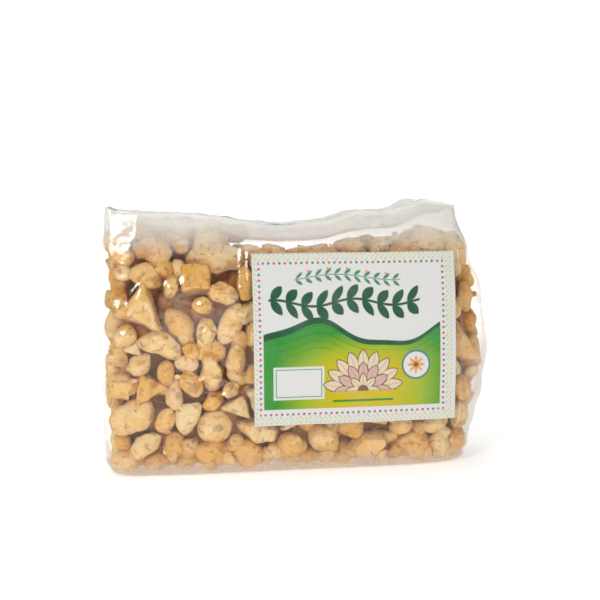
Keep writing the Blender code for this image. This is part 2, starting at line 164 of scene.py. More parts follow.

# %% [markdown]
# ## The pieces
#
# Each piece starts as a rough polyhedron of a kind: a pip, a chunk, a bean, a wedge, a block or a slab. The
# ones that show best on the front are listed one by one. The others are drawn at random with a fixed seed,
# and then all of them are pushed apart until they lie side by side against the film, as pieces do in a full
# bag.
# The draws and the steps are the same as in the solids, so every fine piece lands where its solid is.

# %% Kinds of piece, and the ones that show best
FILLERS = 220
SETTLE_ROUNDS = 200
SEED = 20
KINDS = ("pip", "chunk", "bean", "wedge", "block", "slab")
KIND_SHARES = (0.36, 0.34, 0.09, 0.10, 0.05, 0.06)
SHOWN_PIECES = (
    ("chunk", -68.0, 105.0, 21.0, 14.5, -63, 1),
    ("wedge", -38.5, 102.5, 33.0, 13.0, -3, 0),
    ("block", -50.0, 92.5, 14.5, 13.5, 2, 0),
    ("chunk", -72.5, 93.0, 18.0, 12.0, -20, 0),
    ("slab", -73.5, 78.5, 25.0, 16.0, 108, 0),
    ("chunk", -47.0, 80.0, 13.0, 9.5, -15, 0),
    ("chunk", -36.5, 85.5, 14.5, 11.5, -10, 0),
    ("pip", -57.0, 71.5, 19.0, 11.5, -50, 2),
    ("chunk", -45.5, 68.0, 17.0, 10.5, 72, 0),
    ("pip", -35.0, 70.5, 23.0, 11.0, 65, 1),
    ("chunk", -28.0, 90.0, 19.0, 10.0, 85, 1),
    ("pip", -84.0, 83.5, 20.0, 10.5, 80, 2),
    ("bean", -67.5, 62.5, 24.0, 12.0, -25, 0),
    ("pip", -82.5, 67.0, 11.0, 10.5, 0, 1),
    ("chunk", -75.5, 53.5, 15.0, 13.5, 45, 0),
    ("pip", -64.5, 49.0, 12.5, 9.5, 90, 1),
    ("pip", -53.0, 44.0, 16.0, 10.5, -60, 0),
    ("wedge", -44.0, 50.0, 22.0, 12.0, 100, 0),
    ("chunk", -32.0, 56.0, 16.5, 12.0, 80, 1),
    ("chunk", -80.0, 29.0, 24.0, 16.5, 35, 0),
    ("bean", -54.5, 28.0, 19.0, 11.0, 65, 0),
    ("chunk", -42.5, 23.5, 17.5, 15.5, 30, 0),
    ("pip", -65.0, 27.0, 13.5, 9.5, 75, 1),
    ("chunk", -74.0, 15.0, 17.0, 11.5, 35, 1),
    ("pip", -60.5, 15.0, 13.0, 12.5, 20, 2),
    ("wedge", -20.5, 20.0, 22.0, 13.5, 168, 0),
    ("chunk", -8.0, 13.0, 16.5, 14.5, 55, 1),
    ("chunk", 9.5, 15.0, 19.0, 15.5, -35, 0),
    ("slab", 79.5, 58.0, 26.0, 13.5, 122, 1),
    ("chunk", 79.0, 37.0, 14.5, 12.0, -60, 2),
    ("chunk", 56.0, 10.5, 19.0, 15.0, -20, 1),
    ("pip", 47.0, 20.0, 12.5, 11.0, 30, 1),
    ("wedge", 32.0, 11.0, 24.0, 12.0, 27, 0),
    ("chunk", 64.0, 20.0, 19.0, 11.5, 20, 1),
    ("chunk", 71.0, 94.0, 13.5, 11.5, 20, 3),
    ("pip", 80.0, 81.0, 17.0, 9.5, 82, 3),
)


def kind_shape(bm, kind, half, rng):
    """A rough polyhedron of a kind. Half of its length, width and thickness lie along x, y and z."""
    loose = {"block": 0.07, "wedge": 0.09, "slab": 0.06, "pip": 0.09, "bean": 0.07, "chunk": 0.19}[kind]
    if kind == "block":
        bmesh.ops.create_cube(bm, size=1.75)
    elif kind == "slab":
        bmesh.ops.create_cone(bm, cap_ends=True, segments=3, radius1=1.3, radius2=1.0, depth=1.8)
    elif kind == "wedge":
        bmesh.ops.create_cone(bm, cap_ends=True, segments=6, radius1=1.05, radius2=0.72, depth=1.8)
    else:
        bmesh.ops.create_icosphere(bm, subdivisions=1, radius=1.05)
    bmesh.ops.triangulate(bm, faces=bm.faces)
    for v in bm.verts:
        v.co *= 1.0 + loose * rng.uniform(-1.0, 0.4)
        v.co += Vector(rng.uniform(-loose, loose, 3)) * 0.4
        if kind == "wedge":
            v.co.y *= 1.0 - 0.6 * max(v.co.x, 0.0) ** 1.2
        if kind == "bean":
            v.co.y += 0.3 - 0.75 * v.co.x ** 2
    bmesh.ops.scale(bm, verts=bm.verts, vec=Vector(half))


def turn_matrix(along, outward):
    """The rotation that puts a piece's thickness along outward and its length as near to along as it can."""
    outward = outward / np.linalg.norm(outward)
    along = along - outward * (along @ outward)
    along = along / np.linalg.norm(along)
    return np.stack([along, np.cross(outward, along), outward], axis=1)


def random_turn(rng, most):
    axis = Vector(rng.normal(size=3))
    return np.array(Matrix.Rotation(math.radians(rng.uniform(-most, most)), 3, axis))


print(len(SHOWN_PIECES), "pieces placed by hand")

# %% Draw the pieces
def shown_pieces(rng):
    pieces = []
    for kind, x, z, length, width, slant, behind in SHOWN_PIECES:
        angle = math.radians(slant)
        thick = width * {"slab": 0.5, "wedge": 0.7, "block": 0.8}.get(kind, 0.72)
        pieces.append({
            "kind": kind, "half": np.array([length, width, thick]) / 2, "place": np.array([x, -30.0, z]),
            "along": np.array([math.cos(angle), 0.0, math.sin(angle)]), "tilt": random_turn(rng, 7),
            "behind": float(behind), "shown": True, "seed": int(rng.integers(1 << 30)),
        })
    return pieces


def filler_pieces(rng, envelope):
    """Pieces spread over the whole filling by the area of its faces, smaller where they show on the front."""
    envelope.faces.ensure_lookup_table()
    areas = np.cumsum([f.calc_area() for f in envelope.faces])
    pieces = []
    for _ in range(FILLERS):
        face = envelope.faces[int(np.searchsorted(areas, rng.random() * areas[-1]))]
        place = np.array(face.calc_center_median()) + rng.uniform(-3, 3, 3)
        in_front = face.normal.y < -0.5 and place[0] < LABEL_CENTRE[0] - LABEL_SIZE[0] / 2
        size = float(np.clip(rng.lognormal(math.log(13.5 if in_front else 17.5), 0.16), 10.0, 24.0))
        half = np.array([size, size * rng.uniform(0.68, 0.88), size * rng.uniform(0.58, 0.72)]) / 2
        pieces.append({
            "kind": str(rng.choice(KINDS, p=KIND_SHARES)), "half": half, "place": place,
            "along": rng.normal(size=3), "tilt": random_turn(rng, 18), "behind": float(rng.uniform(0, 1.5)),
            "shown": False, "seed": int(rng.integers(1 << 30)),
        })
    return pieces


rng = np.random.default_rng(SEED)
pieces = shown_pieces(rng) + filler_pieces(rng, envelope_mesh)
print("pieces drawn:", len(pieces))

# %% Push the pieces apart along the film
def seat_piece(piece, envelope):
    """Turns a piece to the film and puts it against it, or as far behind it as it should be."""
    spot, normal = envelope.find_nearest(Vector(piece["place"]))[:2]
    outward = np.array(normal)
    piece["turn"] = turn_matrix(piece["along"], outward) @ piece["tilt"]
    depth = piece["half"][2] + piece["behind"]
    piece["place"] = np.array(spot) - outward * depth


def settle(pieces, envelope, rounds=SETTLE_ROUNDS):
    """Pushes pieces apart along the film until they lie beside each other."""
    angles = np.arange(6) * np.pi / 3
    rim = np.stack([np.cos(angles), np.sin(angles), 0 * angles], axis=1)
    rim = np.concatenate([np.zeros((1, 3)), rim])
    home = np.array([p["place"] for p in pieces])
    shown = np.array([p["shown"] for p in pieces])
    mobility = np.where(shown, 0.05, 1.0)
    halves = np.array([p["half"] for p in pieces])
    radii = halves[:, 2] * 0.95
    spread = np.stack([halves[:, 0] - radii, halves[:, 1] - radii, 0 * radii], axis=1)
    for _ in range(rounds):
        for piece in pieces:
            seat_piece(piece, envelope)
        centres = np.array([p["place"] for p in pieces])
        balls = np.einsum("nij,nkj->nki", np.array([p["turn"] for p in pieces]), rim[None] * spread[:, None])
        balls += centres[:, None]
        near = np.linalg.norm(centres[:, None] - centres[None], axis=2)
        first, second = np.nonzero(np.triu(near < halves[:, None, 0] + halves[None, :, 0], 1))
        apart = balls[first][:, :, None] - balls[second][:, None]
        overlap = (radii[first] + radii[second])[:, None, None] - np.linalg.norm(apart, axis=3)
        deep = np.maximum(overlap.reshape(len(first), -1).max(axis=1), 0)
        way = centres[first] - centres[second]
        way /= np.maximum(np.linalg.norm(way, axis=1, keepdims=True), 1e-6)
        weight = (mobility[first] / (mobility[first] + mobility[second]))[:, None]
        move = np.zeros_like(centres)
        count = np.ones(len(centres))
        np.add.at(move, first, way * deep[:, None] * weight)
        np.add.at(move, second, -way * deep[:, None] * (1 - weight))
        np.add.at(count, first, deep > 0)
        np.add.at(count, second, deep > 0)
        move *= 1.3 / np.sqrt(count)[:, None]
        move += (home - centres) * np.where(shown, 0.2, 0.0)[:, None] * np.array([1, 0, 1])
        for piece, step in zip(pieces, move):
            piece["place"] = piece["place"] + step
    for piece in pieces:
        seat_piece(piece, envelope)


def piece_place(piece):
    place = Matrix(piece["turn"].tolist()).to_4x4()
    place.translation = Vector(piece["place"])
    return place


def clear_of_film(piece, envelope):
    """Moves a piece inwards until its points are all behind the film."""
    for _ in range(12):
        bm = bmesh.new()
        kind_shape(bm, piece["kind"], piece["half"], np.random.default_rng(piece["seed"]))
        bmesh.ops.transform(bm, matrix=piece_place(piece), verts=bm.verts)
        worst, way = 0.0, None
        for v in bm.verts:
            spot, normal = envelope.find_nearest(v.co)[:2]
            out = (v.co - spot).dot(normal)
            if out > worst:
                worst, way = out, normal
        bm.free()
        if way is None:
            return
        piece["place"] = piece["place"] - np.array(way) * (worst + 0.02)


settle(pieces, envelope)
for piece in pieces:
    clear_of_film(piece, envelope)
print("settled; the first piece lies at", np.round(pieces[0]["place"], 1), "mm")

# %% [markdown]
# ## More pieces, deeper in the bag
#
# Between the large pieces one sees smaller ones, and behind those more pieces in shadow. The solids leave
# them out, so they are added here in two layers. The gap pieces are drawn over the same surface but sit
# deeper, and the inner pieces lie against a surface that is a whole piece further in.

# %% Draw the gap pieces and the inner pieces
MOUND_PIECES = 9
GAP_PIECES = 330
INNER_PIECES = 300
INNER_INSET = 10.0


def more_pieces(count, rng, mesh, tree, sizes, behind):
    """Pieces of one layer, spread evenly by trying several spots for each and keeping the emptiest."""
    mesh.faces.ensure_lookup_table()
    areas = np.cumsum([f.calc_area() for f in mesh.faces])
    taken = [p["place"] for p in pieces]
    reach = [p["half"][0] for p in pieces]
    made = []
    for _ in range(count):
        size = float(rng.uniform(*sizes))
        best = None
        for _ in range(14):
            face = mesh.faces[int(np.searchsorted(areas, rng.random() * areas[-1]))]
            place = np.array(face.calc_center_median()) + rng.uniform(-4, 4, 3)
            room = (np.linalg.norm(np.array(taken) - place, axis=1) - np.array(reach)).min()
            if best is None or room > best[0]:
                best = (room, place)
        half = np.array([size, size * rng.uniform(0.66, 0.9), size * rng.uniform(0.55, 0.75)]) / 2
        piece = {
            "kind": str(rng.choice(KINDS, p=KIND_SHARES)), "half": half, "place": best[1],
            "along": rng.normal(size=3), "tilt": random_turn(rng, 40), "behind": float(rng.uniform(*behind)),
            "shown": False, "seed": int(rng.integers(1 << 30)),
        }
        seat_piece(piece, tree)
        taken.append(best[1])
        reach.append(half[0])
        made.append(piece)
    return made


def mound_pieces(count, rng):
    """A few pieces that lie loose on the mound, at the bag's left."""
    made = []
    for number in range(count):
        size = rng.uniform(14, 20)
        made.append({
            "kind": str(rng.choice(("pip", "chunk", "wedge"))),
            "half": np.array([size, size * 0.78, size * 0.62]) / 2,
            "place": np.array([-86 + 62 * (number + rng.uniform(-0.3, 0.3)) / count, rng.uniform(-9, 12),
                               rng.uniform(109.5, 113.5)]),
            "turn": random_turn(rng, 60), "shown": False, "seed": int(rng.integers(1 << 30)),
        })
    return made


gap_rng = np.random.default_rng(SEED + 1)
mound = mound_pieces(MOUND_PIECES, gap_rng)
gap_pieces = more_pieces(GAP_PIECES, gap_rng, envelope_mesh, envelope, (8.0, 13.0), (1.4, 4.2))
inner_mesh = filling_mesh(INNER_INSET, FILL_COLUMNS)
inner = BVHTree.FromBMesh(inner_mesh)
inner_pieces = more_pieces(INNER_PIECES, gap_rng, inner_mesh, inner, (13.0, 18.0), (-1.5, 2.0))
print("gap pieces:", len(gap_pieces), "inner pieces:", len(inner_pieces))

# %% [markdown]
# ## From rough polyhedra to chalky pieces
#
# Dried pulp breaks into rounded lumps with a few flat, chiselled sides. Subdivision rounds a rough
# polyhedron, and a crease on some of its edges keeps those sides flat. Noise then makes the surface lumpy at
# two sizes. All the pieces of a layer go through one Subdivision Surface modifier together, which is quick,
# and each point keeps the number of its piece in an attribute, so that colour can differ by piece.

# %% Round and roughen pieces
SHARPNESS = {
    "pip": (0.0, 0.4), "bean": (0.0, 0.35), "chunk": (0.0, 0.6), "wedge": (0.2, 0.8), "slab": (0.45, 0.9),
    "block": (0.4, 0.75),
}


def rough_bmesh(members):
    """The rough polyhedra of some pieces in one bmesh, with creased edges and numbered points."""
    whole = bmesh.new()
    number = whole.verts.layers.float.new("piece")
    crease = whole.edges.layers.float.new("crease_edge")
    for index, piece in enumerate(members):
        bm = bmesh.new()
        kind_shape(bm, piece["kind"], piece["half"], np.random.default_rng(piece["seed"]))
        bmesh.ops.recalc_face_normals(bm, faces=bm.faces)
        bmesh.ops.transform(bm, matrix=piece_place(piece), verts=bm.verts)
        part = bpy.data.meshes.new("rough")
        bm.to_mesh(part)
        bm.free()
        before = len(whole.verts), len(whole.edges)
        whole.from_mesh(part)
        bpy.data.meshes.remove(part)
        whole.verts.ensure_lookup_table()
        whole.edges.ensure_lookup_table()
        for v in whole.verts[before[0]:]:
            v[number] = index
        rng = np.random.default_rng(piece["seed"] + 1)
        for edge in whole.edges[before[1]:]:
            edge[crease] = rng.uniform(*SHARPNESS[piece["kind"]])
    return whole


def lump(place, size, seed):
    """Noise between -1 and 1 at a place, with lumps of a size, all in millimetres."""
    return noise.noise(Vector(place) / size + Vector((seed, seed * 0.7, -seed)))


PRESSED_FROM = 0.3


def put_values(mesh, name, values):
    layer = mesh.attributes.get(name) or mesh.attributes.new(name, "FLOAT", "POINT")
    layer.data.foreach_set("value", np.asarray(values, np.float32))


def pressed(points, press):
    """Points, pressed back where they stick out of the film, and how far behind it each one is."""
    depth = np.empty(len(points))
    for index, point in enumerate(points):
        spot, normal = envelope.find_nearest(Vector(point))[:2]
        depth[index] = -np.array(normal) @ (point - np.array(spot))
        if press and depth[index] < -PRESSED_FROM:
            points[index] += np.array(normal) * (depth[index] + PRESSED_FROM)
    return points, depth


def reach_of(points, owner, centres):
    """How far the points of each piece reach from its centre."""
    reach = np.zeros(len(centres))
    np.maximum.at(reach, owner, np.linalg.norm(points - centres[owner], axis=1))
    return reach


def fine_mesh(name, members, levels, lumps, press=True):
    """Rounds and roughens pieces and returns their mesh in metres, with the number of each point's piece.

    Lumps are pairs of a size and a height in millimetres."""
    bm = rough_bmesh(members)
    number = bm.verts.layers.float["piece"]
    corners = np.array([v.co for v in bm.verts])
    corner_owner = np.array([round(v[number]) for v in bm.verts])
    rough = bpy.data.meshes.new(name + "_rough")
    bm.to_mesh(rough)
    bm.free()
    holder = bpy.data.objects.new(name + "_rough", rough)
    bpy.context.scene.collection.objects.link(holder)
    rounding = holder.modifiers.new("round", "SUBSURF")
    rounding.levels = rounding.render_levels = levels
    graph = bpy.context.evaluated_depsgraph_get()
    mesh = bpy.data.meshes.new_from_object(holder.evaluated_get(graph))
    bpy.data.objects.remove(holder, do_unlink=True)
    bpy.data.meshes.remove(rough)
    count = len(mesh.vertices)
    points, normals, owner = np.empty(count * 3), np.empty(count * 3), np.empty(count)
    mesh.vertices.foreach_get("co", points)
    mesh.vertex_normals.foreach_get("vector", normals)
    mesh.attributes["piece"].data.foreach_get("value", owner)
    points, normals = points.reshape(-1, 3), normals.reshape(-1, 3)
    owner = np.round(owner).astype(int)
    centres = np.array([p["place"] for p in members])
    grow = reach_of(corners, corner_owner, centres) * 0.985 / reach_of(points, owner, centres)
    points = centres[owner] + (points - centres[owner]) * grow[owner][:, None]
    for number, (size, height) in enumerate(lumps):
        rise = np.array([lump(p, size, o * 0.37 + number) for p, o in zip(points, owner)])
        points = points + normals * (rise * height)[:, None]
    points, depth = pressed(points, press)
    put_values(mesh, "depth", depth)
    mesh.vertices.foreach_set("co", (points * MM).ravel())
    mesh.shade_smooth()
    mesh.name = name
    return mesh, owner


def finished(name, mesh, mat, slot, *nodes):
    """An object for a finished mesh, which rides on the bag and stands for some of its solids."""
    obj = bpy.data.objects.new(name, mesh)
    bpy.context.scene.collection.objects.link(obj)
    mesh.materials.clear()
    mesh.materials.append(mat)
    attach(obj, "root")
    if nodes:
        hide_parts(*nodes)
    return obj


print("ready to make fine pieces")

# %% [markdown]
# ## Making the pieces of each layer
#
# The pieces that show best are separate things on the real bag too, so each gets an object of its own. The
# others go into a few objects by layer. Three numbers on each point steer the colour: the tone runs from
# cream to ochre, deep says how far behind the film the point lies and sets how much painted shade darkens
# it towards brown, for the shade down in the gaps, and spot marks where the dark seed shows through its
# pulp. A fourth marks a few brown stains.

# %% Numbers that steer the colour
TONES = (
    0.35, 0.0, 0.9, 0.35, 0.3, 0.5, 0.35, 0.8, 0.15, 0.3, 0.75, 0.6, 0.25, 0.3, 0.25, 0.85, 0.65, 0.35,
    0.45, 0.25, 0.0, 0.3, 0.5, 0.1, 0.6, 0.2, 0.55, 0.35, 0.45, 0.6, 0.5, 0.4, 0.3, 0.35, 0.4, 0.45,
)
SPOTTED = (6, 12, 15, 16, 21)
STAINS = (
    (-67.0, 92.0, 3.6), (-85.0, 88.0, 3.0), (17.0, 113.0, 9.0), (33.0, 112.0, 5.0), (-70.0, 45.0, 2.6),
    (79.0, 66.0, 3.4), (69.0, 22.0, 3.0), (-18.0, 112.0, 4.0), (60.0, 14.0, 3.0), (-37.0, 15.0, 3.0),
)
FILM_TO_SHADE = (1.5, 11.0)


def mesh_points(mesh):
    """The points of a mesh in millimetres."""
    points = np.empty(len(mesh.vertices) * 3)
    mesh.vertices.foreach_get("co", points)
    return points.reshape(-1, 3) / MM


def steer_colour(mesh, owner, members, tones, spotted):
    """Writes tone, deep, spot and stain on the points of a fine mesh."""
    points = mesh_points(mesh)
    start, end = FILM_TO_SHADE
    depth = np.empty(len(points), np.float32)
    mesh.attributes["depth"].data.foreach_get("value", depth)
    put_values(mesh, "tone", np.asarray(tones)[owner])
    # Deep runs from 0 near the film to 1 far behind it and sets the painted shade in the pulp's colour.
    put_values(mesh, "deep", np.clip((depth - start) / (end - start), 0, 1))
    stain = np.zeros(len(points))
    for x, z, radius in STAINS:
        away = np.hypot(points[:, 0] - x, points[:, 2] - z) / radius
        stain = np.maximum(stain, np.clip(1.5 - away, 0, 1) * (points[:, 1] < 5))
    put_values(mesh, "stain", stain)
    spot = np.zeros(len(points))
    for index in spotted:
        piece = members[index]
        rng = np.random.default_rng(piece["seed"] + 2)
        outward = piece["turn"][:, 2] + rng.normal(size=3) * 0.35
        mine = np.nonzero(owner == index)[0]
        centre = points[mine[np.argmax((points[mine] - piece["place"]) @ outward)]]
        centre = centre + piece["turn"][:, 0] * piece["half"][0] * rng.uniform(-0.4, 0.4)
        away = np.linalg.norm(points[mine] - centre, axis=1) / rng.uniform(2.0, 3.2)
        spot[mine] = np.clip(1.4 - away, 0, 1)
    put_values(mesh, "spot", spot)


print("tones by hand:", len(TONES), "with a seed showing:", len(SPOTTED))

# %% Fine meshes of all layers
CRUMBS = 170
SEED_SHOWS = 0.2
LUMPS, SMALL_LUMPS = ((6.5, 1.1), (2.4, 0.42)), ((3.0, 0.35),)


def random_tones(rng, count):
    """Tones between 0 and 1 that gather round a pale, a middle and a dark one."""
    around = rng.choice((0.15, 0.45, 0.8), size=count, p=(0.45, 0.35, 0.2))
    return np.clip(around + rng.normal(0, 0.12, count), 0, 1)


tone_rng = np.random.default_rng(SEED + 3)
shown = [p for p in pieces if p["shown"]]
fillers = [p for p in pieces if not p["shown"]]
front = [p for p in fillers if p["place"][1] < -4 or abs(p["place"][0]) > 82 or p["place"][2] > 100]
rear = [p for p in fillers if not any(p is q for q in front)]
fine = {}
for index, piece in enumerate(shown):
    name = f"pulp_{index + 1:02d}"
    mesh, owner = fine_mesh(name, [piece], 3, LUMPS)
    steer_colour(mesh, owner, [piece], [TONES[index]], [0] if index in SPOTTED else [])
    fine[name] = mesh
half_way = len(front) // 2
crumb_rng = np.random.default_rng(SEED + 4)
crumbs = more_pieces(CRUMBS, crumb_rng, envelope_mesh, envelope, (1.4, 3.6), (0.3, 2.0))
for name, members, levels in (
    ("pulp_front_a", front[:half_way], 3), ("pulp_front_b", front[half_way:], 3), ("pulp_rear", rear, 2),
    ("pulp_mound", mound, 3), ("pulp_gaps", gap_pieces, 2), ("pulp_inside", inner_pieces, 1),
    ("pulp_crumbs", crumbs, 1),
):
    lumps = LUMPS if levels > 1 else SMALL_LUMPS
    mesh, owner = fine_mesh(name, members, levels, lumps, press=name != "pulp_mound")
    tones = random_tones(tone_rng, len(members))
    steer_colour(mesh, owner, members, tones, np.nonzero(tone_rng.random(len(members)) < SEED_SHOWS)[0])
    fine[name] = mesh
    print(name, len(members), "pieces,", len(mesh.polygons), "faces")

# %% The core, which no light shines through, painted all over in shade brown
CORE_INSET = 14.0
core_bm = filling_mesh(CORE_INSET, FILL_COLUMNS)
bmesh.ops.subdivide_edges(core_bm, edges=core_bm.edges, cuts=2, use_grid_fill=True)
for v in core_bm.verts:
    v.co += v.normal * 2.2 * lump(v.co, 9.0, 4.0)
bmesh.ops.scale(core_bm, verts=core_bm.verts, vec=Vector((MM, MM, MM)))
core = bpy.data.meshes.new("pulp_core")
core_bm.to_mesh(core)
core_bm.free()
core.shade_smooth()
# A deep of 1 paints the whole core in the pulp's painted shade brown.
for name, value in (("tone", 0.7), ("deep", 1.0), ("spot", 0.0), ("stain", 0.0)):
    put_values(core, name, np.full(len(core.vertices), value))
fine["pulp_core"] = core
print("core:", len(core.polygons), "faces")

# %% [markdown]
# ## Arithmetic with nodes
#
# Colour patterns are made of node arithmetic. Placing each Math node by hand hides the idea behind it, so a
# small class lets Python's own signs build them: adding two fields adds a node and links it up. It works in
# any node tree, so the pulp, the film and the label can all be written as formulas.

# %% A field class for node math
class Field:
    """A number that varies over a surface. Python's arithmetic on it makes Math nodes in the current tree."""

    tree = None

    def __init__(self, socket):
        self.socket = socket

    @classmethod
    def math(cls, operation, *values, clamp=False):
        node = cls.tree.nodes.new("ShaderNodeMath")
        node.operation = operation
        node.use_clamp = clamp
        for plug, value in zip(node.inputs, values):
            if isinstance(value, Field):
                cls.tree.links.new(value.socket, plug)
            else:
                plug.default_value = value
        return cls(node.outputs[0])

    def __add__(self, other):
        return Field.math("ADD", self, other)

    def __sub__(self, other):
        return Field.math("SUBTRACT", self, other)

    def __rsub__(self, other):
        return Field.math("SUBTRACT", other, self)

    def __mul__(self, other):
        return Field.math("MULTIPLY", self, other)

    def __truediv__(self, other):
        return Field.math("DIVIDE", self, other)

    def __pow__(self, other):
        return Field.math("POWER", self, other)

    __radd__ = __add__
    __rmul__ = __mul__

    def size(self):
        return Field.math("ABSOLUTE", self)

    def clamped(self):
        return Field.math("ADD", self, 0.0, clamp=True)

    def fraction(self):
        return Field.math("FRACT", self)


def lower(a, b):
    return Field.math("MINIMUM", a, b)


def higher(a, b):
    return Field.math("MAXIMUM", a, b)


def step_between(field, start, end):
    """A field that goes from 0 to 1 as another one goes from start to end."""
    return ((field - start) / (end - start)).clamped()


print("fields can add, multiply and compare")

# %% Helpers for colours, noise and attributes
def as_input(tree, value, plug):
    if isinstance(value, Field):
        value = value.socket
    if isinstance(value, bpy.types.NodeSocket):
        tree.links.new(value, plug)
    elif isinstance(value, tuple):
        plug.default_value = (*value, 1.0)
    else:
        plug.default_value = value


def mixed(share, first, second):
    """The colour that goes from first to second as share goes from 0 to 1."""
    node = Field.tree.nodes.new("ShaderNodeMix")
    node.data_type = "RGBA"
    node.clamp_factor = True
    for number, value in ((0, share), (6, first), (7, second)):
        as_input(Field.tree, value, node.inputs[number])
    return node.outputs[2]


def cloudy(place, size, detail=2.0, rough=0.55, offset=(0.0, 0.0, 0.0)):
    """Noise around 0.5 with clouds of a size in millimetres."""
    shift = Field.tree.nodes.new("ShaderNodeVectorMath")
    shift.operation = "ADD"
    Field.tree.links.new(place, shift.inputs[0])
    shift.inputs[1].default_value = offset
    node = Field.tree.nodes.new("ShaderNodeTexNoise")
    Field.tree.links.new(shift.outputs[0], node.inputs["Vector"])
    node.inputs["Scale"].default_value = 1 / (size * MM)
    node.inputs["Detail"].default_value = detail
    node.inputs["Roughness"].default_value = rough
    return Field(node.outputs[0])


def object_place(tree):
    return tree.nodes.new("ShaderNodeTexCoord").outputs["Object"]


def attribute(tree, name):
    node = tree.nodes.new("ShaderNodeAttribute")
    node.attribute_name = name
    return Field(node.outputs["Fac"])


def new_material(name):
    """A new material, which the fields then work in, and its Principled shader."""
    mat = bpy.data.materials.new(name)
    mat.use_nodes = True
    Field.tree = mat.node_tree
    return mat, mat.node_tree.nodes["Principled BSDF"]


def new_group(name, inputs, outputs):
    """A new node group, which the fields then work in, with its input fields by name and its output node."""
    tree = bpy.data.node_groups.new(name, "ShaderNodeTree")
    for label, kind, value in inputs:
        socket = tree.interface.new_socket(label, in_out="INPUT", socket_type=kind)
        if value is not None:
            socket.default_value = value
    for label, kind in outputs:
        tree.interface.new_socket(label, in_out="OUTPUT", socket_type=kind)
    Field.tree = tree
    start = tree.nodes.new("NodeGroupInput")
    end = tree.nodes.new("NodeGroupOutput")
    return tree, {label: start.outputs[label] for label, _, _ in inputs}, end


def place_group(tree, group, **values):
    """Places a group in a tree with values or sockets for its inputs, named with _ for a space."""
    node = tree.nodes.new("ShaderNodeGroup")
    node.node_tree = group
    for name, value in values.items():
        as_input(tree, value, node.inputs[name.replace("_", " ")])
    return node


print("helpers ready")

# %% [markdown]
# ## Fine powder
#
# Baobab pulp sheds a fine powder. It lies on the pieces, sticks to the inside of the film and gathers along
# the bottom edge of the bag. All three show it, so the powder is one node group that each material uses with
# its own values. It puts out a mask, and the material decides what colour the powder has there.

# %% The powder group
powder, given, end = new_group(
    "powder",
    (("Place", "NodeSocketVector", None), ("Everywhere", "NodeSocketFloat", 0.1),
     ("At The Bottom", "NodeSocketFloat", 0.5), ("Bottom Height", "NodeSocketFloat", 0.01)),
    (("Mask", "NodeSocketFloat"),))
split = powder.nodes.new("ShaderNodeSeparateXYZ")
powder.links.new(given["Place"], split.inputs[0])
patches = step_between(cloudy(given["Place"], 9.0, detail=4.0), 0.42, 0.68)
grain = step_between(cloudy(given["Place"], 0.9, detail=2.0), 0.35, 0.7)
low = 1.0 - (Field(split.outputs[2]) / Field(given["Bottom Height"])).clamped()
mask = patches * grain * Field(given["Everywhere"])
mask = mask + low * (0.4 + grain * 0.6) * Field(given["At The Bottom"])
powder.links.new(mask.clamped().socket, end.inputs["Mask"])
print("powder group:", len(powder.nodes), "nodes")

# %% [markdown]
# ## The pulp's colour and grain
#
# Dry baobab pulp is chalky and matt. Its colour runs from cream through tan to ochre, with paler powdery
# patches, brown flecks where fibres tore off, and grey-brown spots where the seed shows. A coarse and a fine
# noise feed a Bump node for the crumbly grain that is too small to model.

# %% Pulp material
CREAM = (0.90, 0.68, 0.36)
TAN = (0.85, 0.50, 0.155)
OCHRE = (0.80, 0.41, 0.07)
BLOOM = (0.91, 0.70, 0.41)
# Painted shade: the brown that pulp lying deep behind the film is darkened to.
PAINTED_SHADE_BROWN = (0.44, 0.135, 0.016)
FLECK_BROWN = (0.50, 0.185, 0.03)
SEED_GREY = (0.44, 0.27, 0.14)
STAIN_BROWN = (0.48, 0.185, 0.028)

pulp, shader = new_material("chalky pulp")
tree = pulp.node_tree
place = object_place(tree)
tone, deep, spot, stain = (attribute(tree, name) for name in ("tone", "deep", "spot", "stain"))
uneven = tone + (cloudy(place, 6.0, detail=5.0) - 0.5) * 1.5
colour = mixed(step_between(uneven, 0.0, 0.5), CREAM, TAN)
colour = mixed(step_between(uneven, 0.5, 1.0), colour, OCHRE)
dust = place_group(tree, powder, Place=place, Everywhere=0.75, At_The_Bottom=0.3, Bottom_Height=0.012)
colour = mixed(Field(dust.outputs["Mask"]) * 0.6, colour, BLOOM)
fine_grain = cloudy(place, 0.7, detail=3.0, rough=0.6)
flecks = step_between(cloudy(place, 2.6, detail=5.0, offset=(3.0, 1.0, 2.0)), 0.55, 0.67)
colour = mixed(flecks * 0.65, colour, FLECK_BROWN)
blotch = step_between(stain + (cloudy(place, 4.0, detail=5.0) - 0.5) * 2.4, 0.35, 0.9)
colour = mixed(blotch * 0.7, colour, STAIN_BROWN)
# Painted shade: the deeper a point lies behind the film, the more it is darkened to shade brown.
colour = mixed(deep * 0.9, colour, PAINTED_SHADE_BROWN)
ragged = step_between(spot + (cloudy(place, 1.3, detail=3.0) - 0.5) * 1.1, 0.35, 0.75)
colour = mixed(ragged * 0.65, colour, SEED_GREY)
tree.links.new(colour, shader.inputs["Base Color"])
tree.links.new((0.96 - fine_grain * 0.16).socket, shader.inputs["Roughness"])
shader.inputs["Specular IOR Level"].default_value = 0.25
bump = tree.nodes.new("ShaderNodeBump")
bump.inputs["Strength"].default_value = 0.8
bump.inputs["Distance"].default_value = 0.7 * MM
height = fine_grain * 0.6 + cloudy(place, 3.4, detail=5.0) * 1.4 - flecks * 0.5
tree.links.new(height.socket, bump.inputs["Height"])
tree.links.new(bump.outputs["Normal"], shader.inputs["Normal"])
print("pulp material:", len(tree.nodes), "nodes")

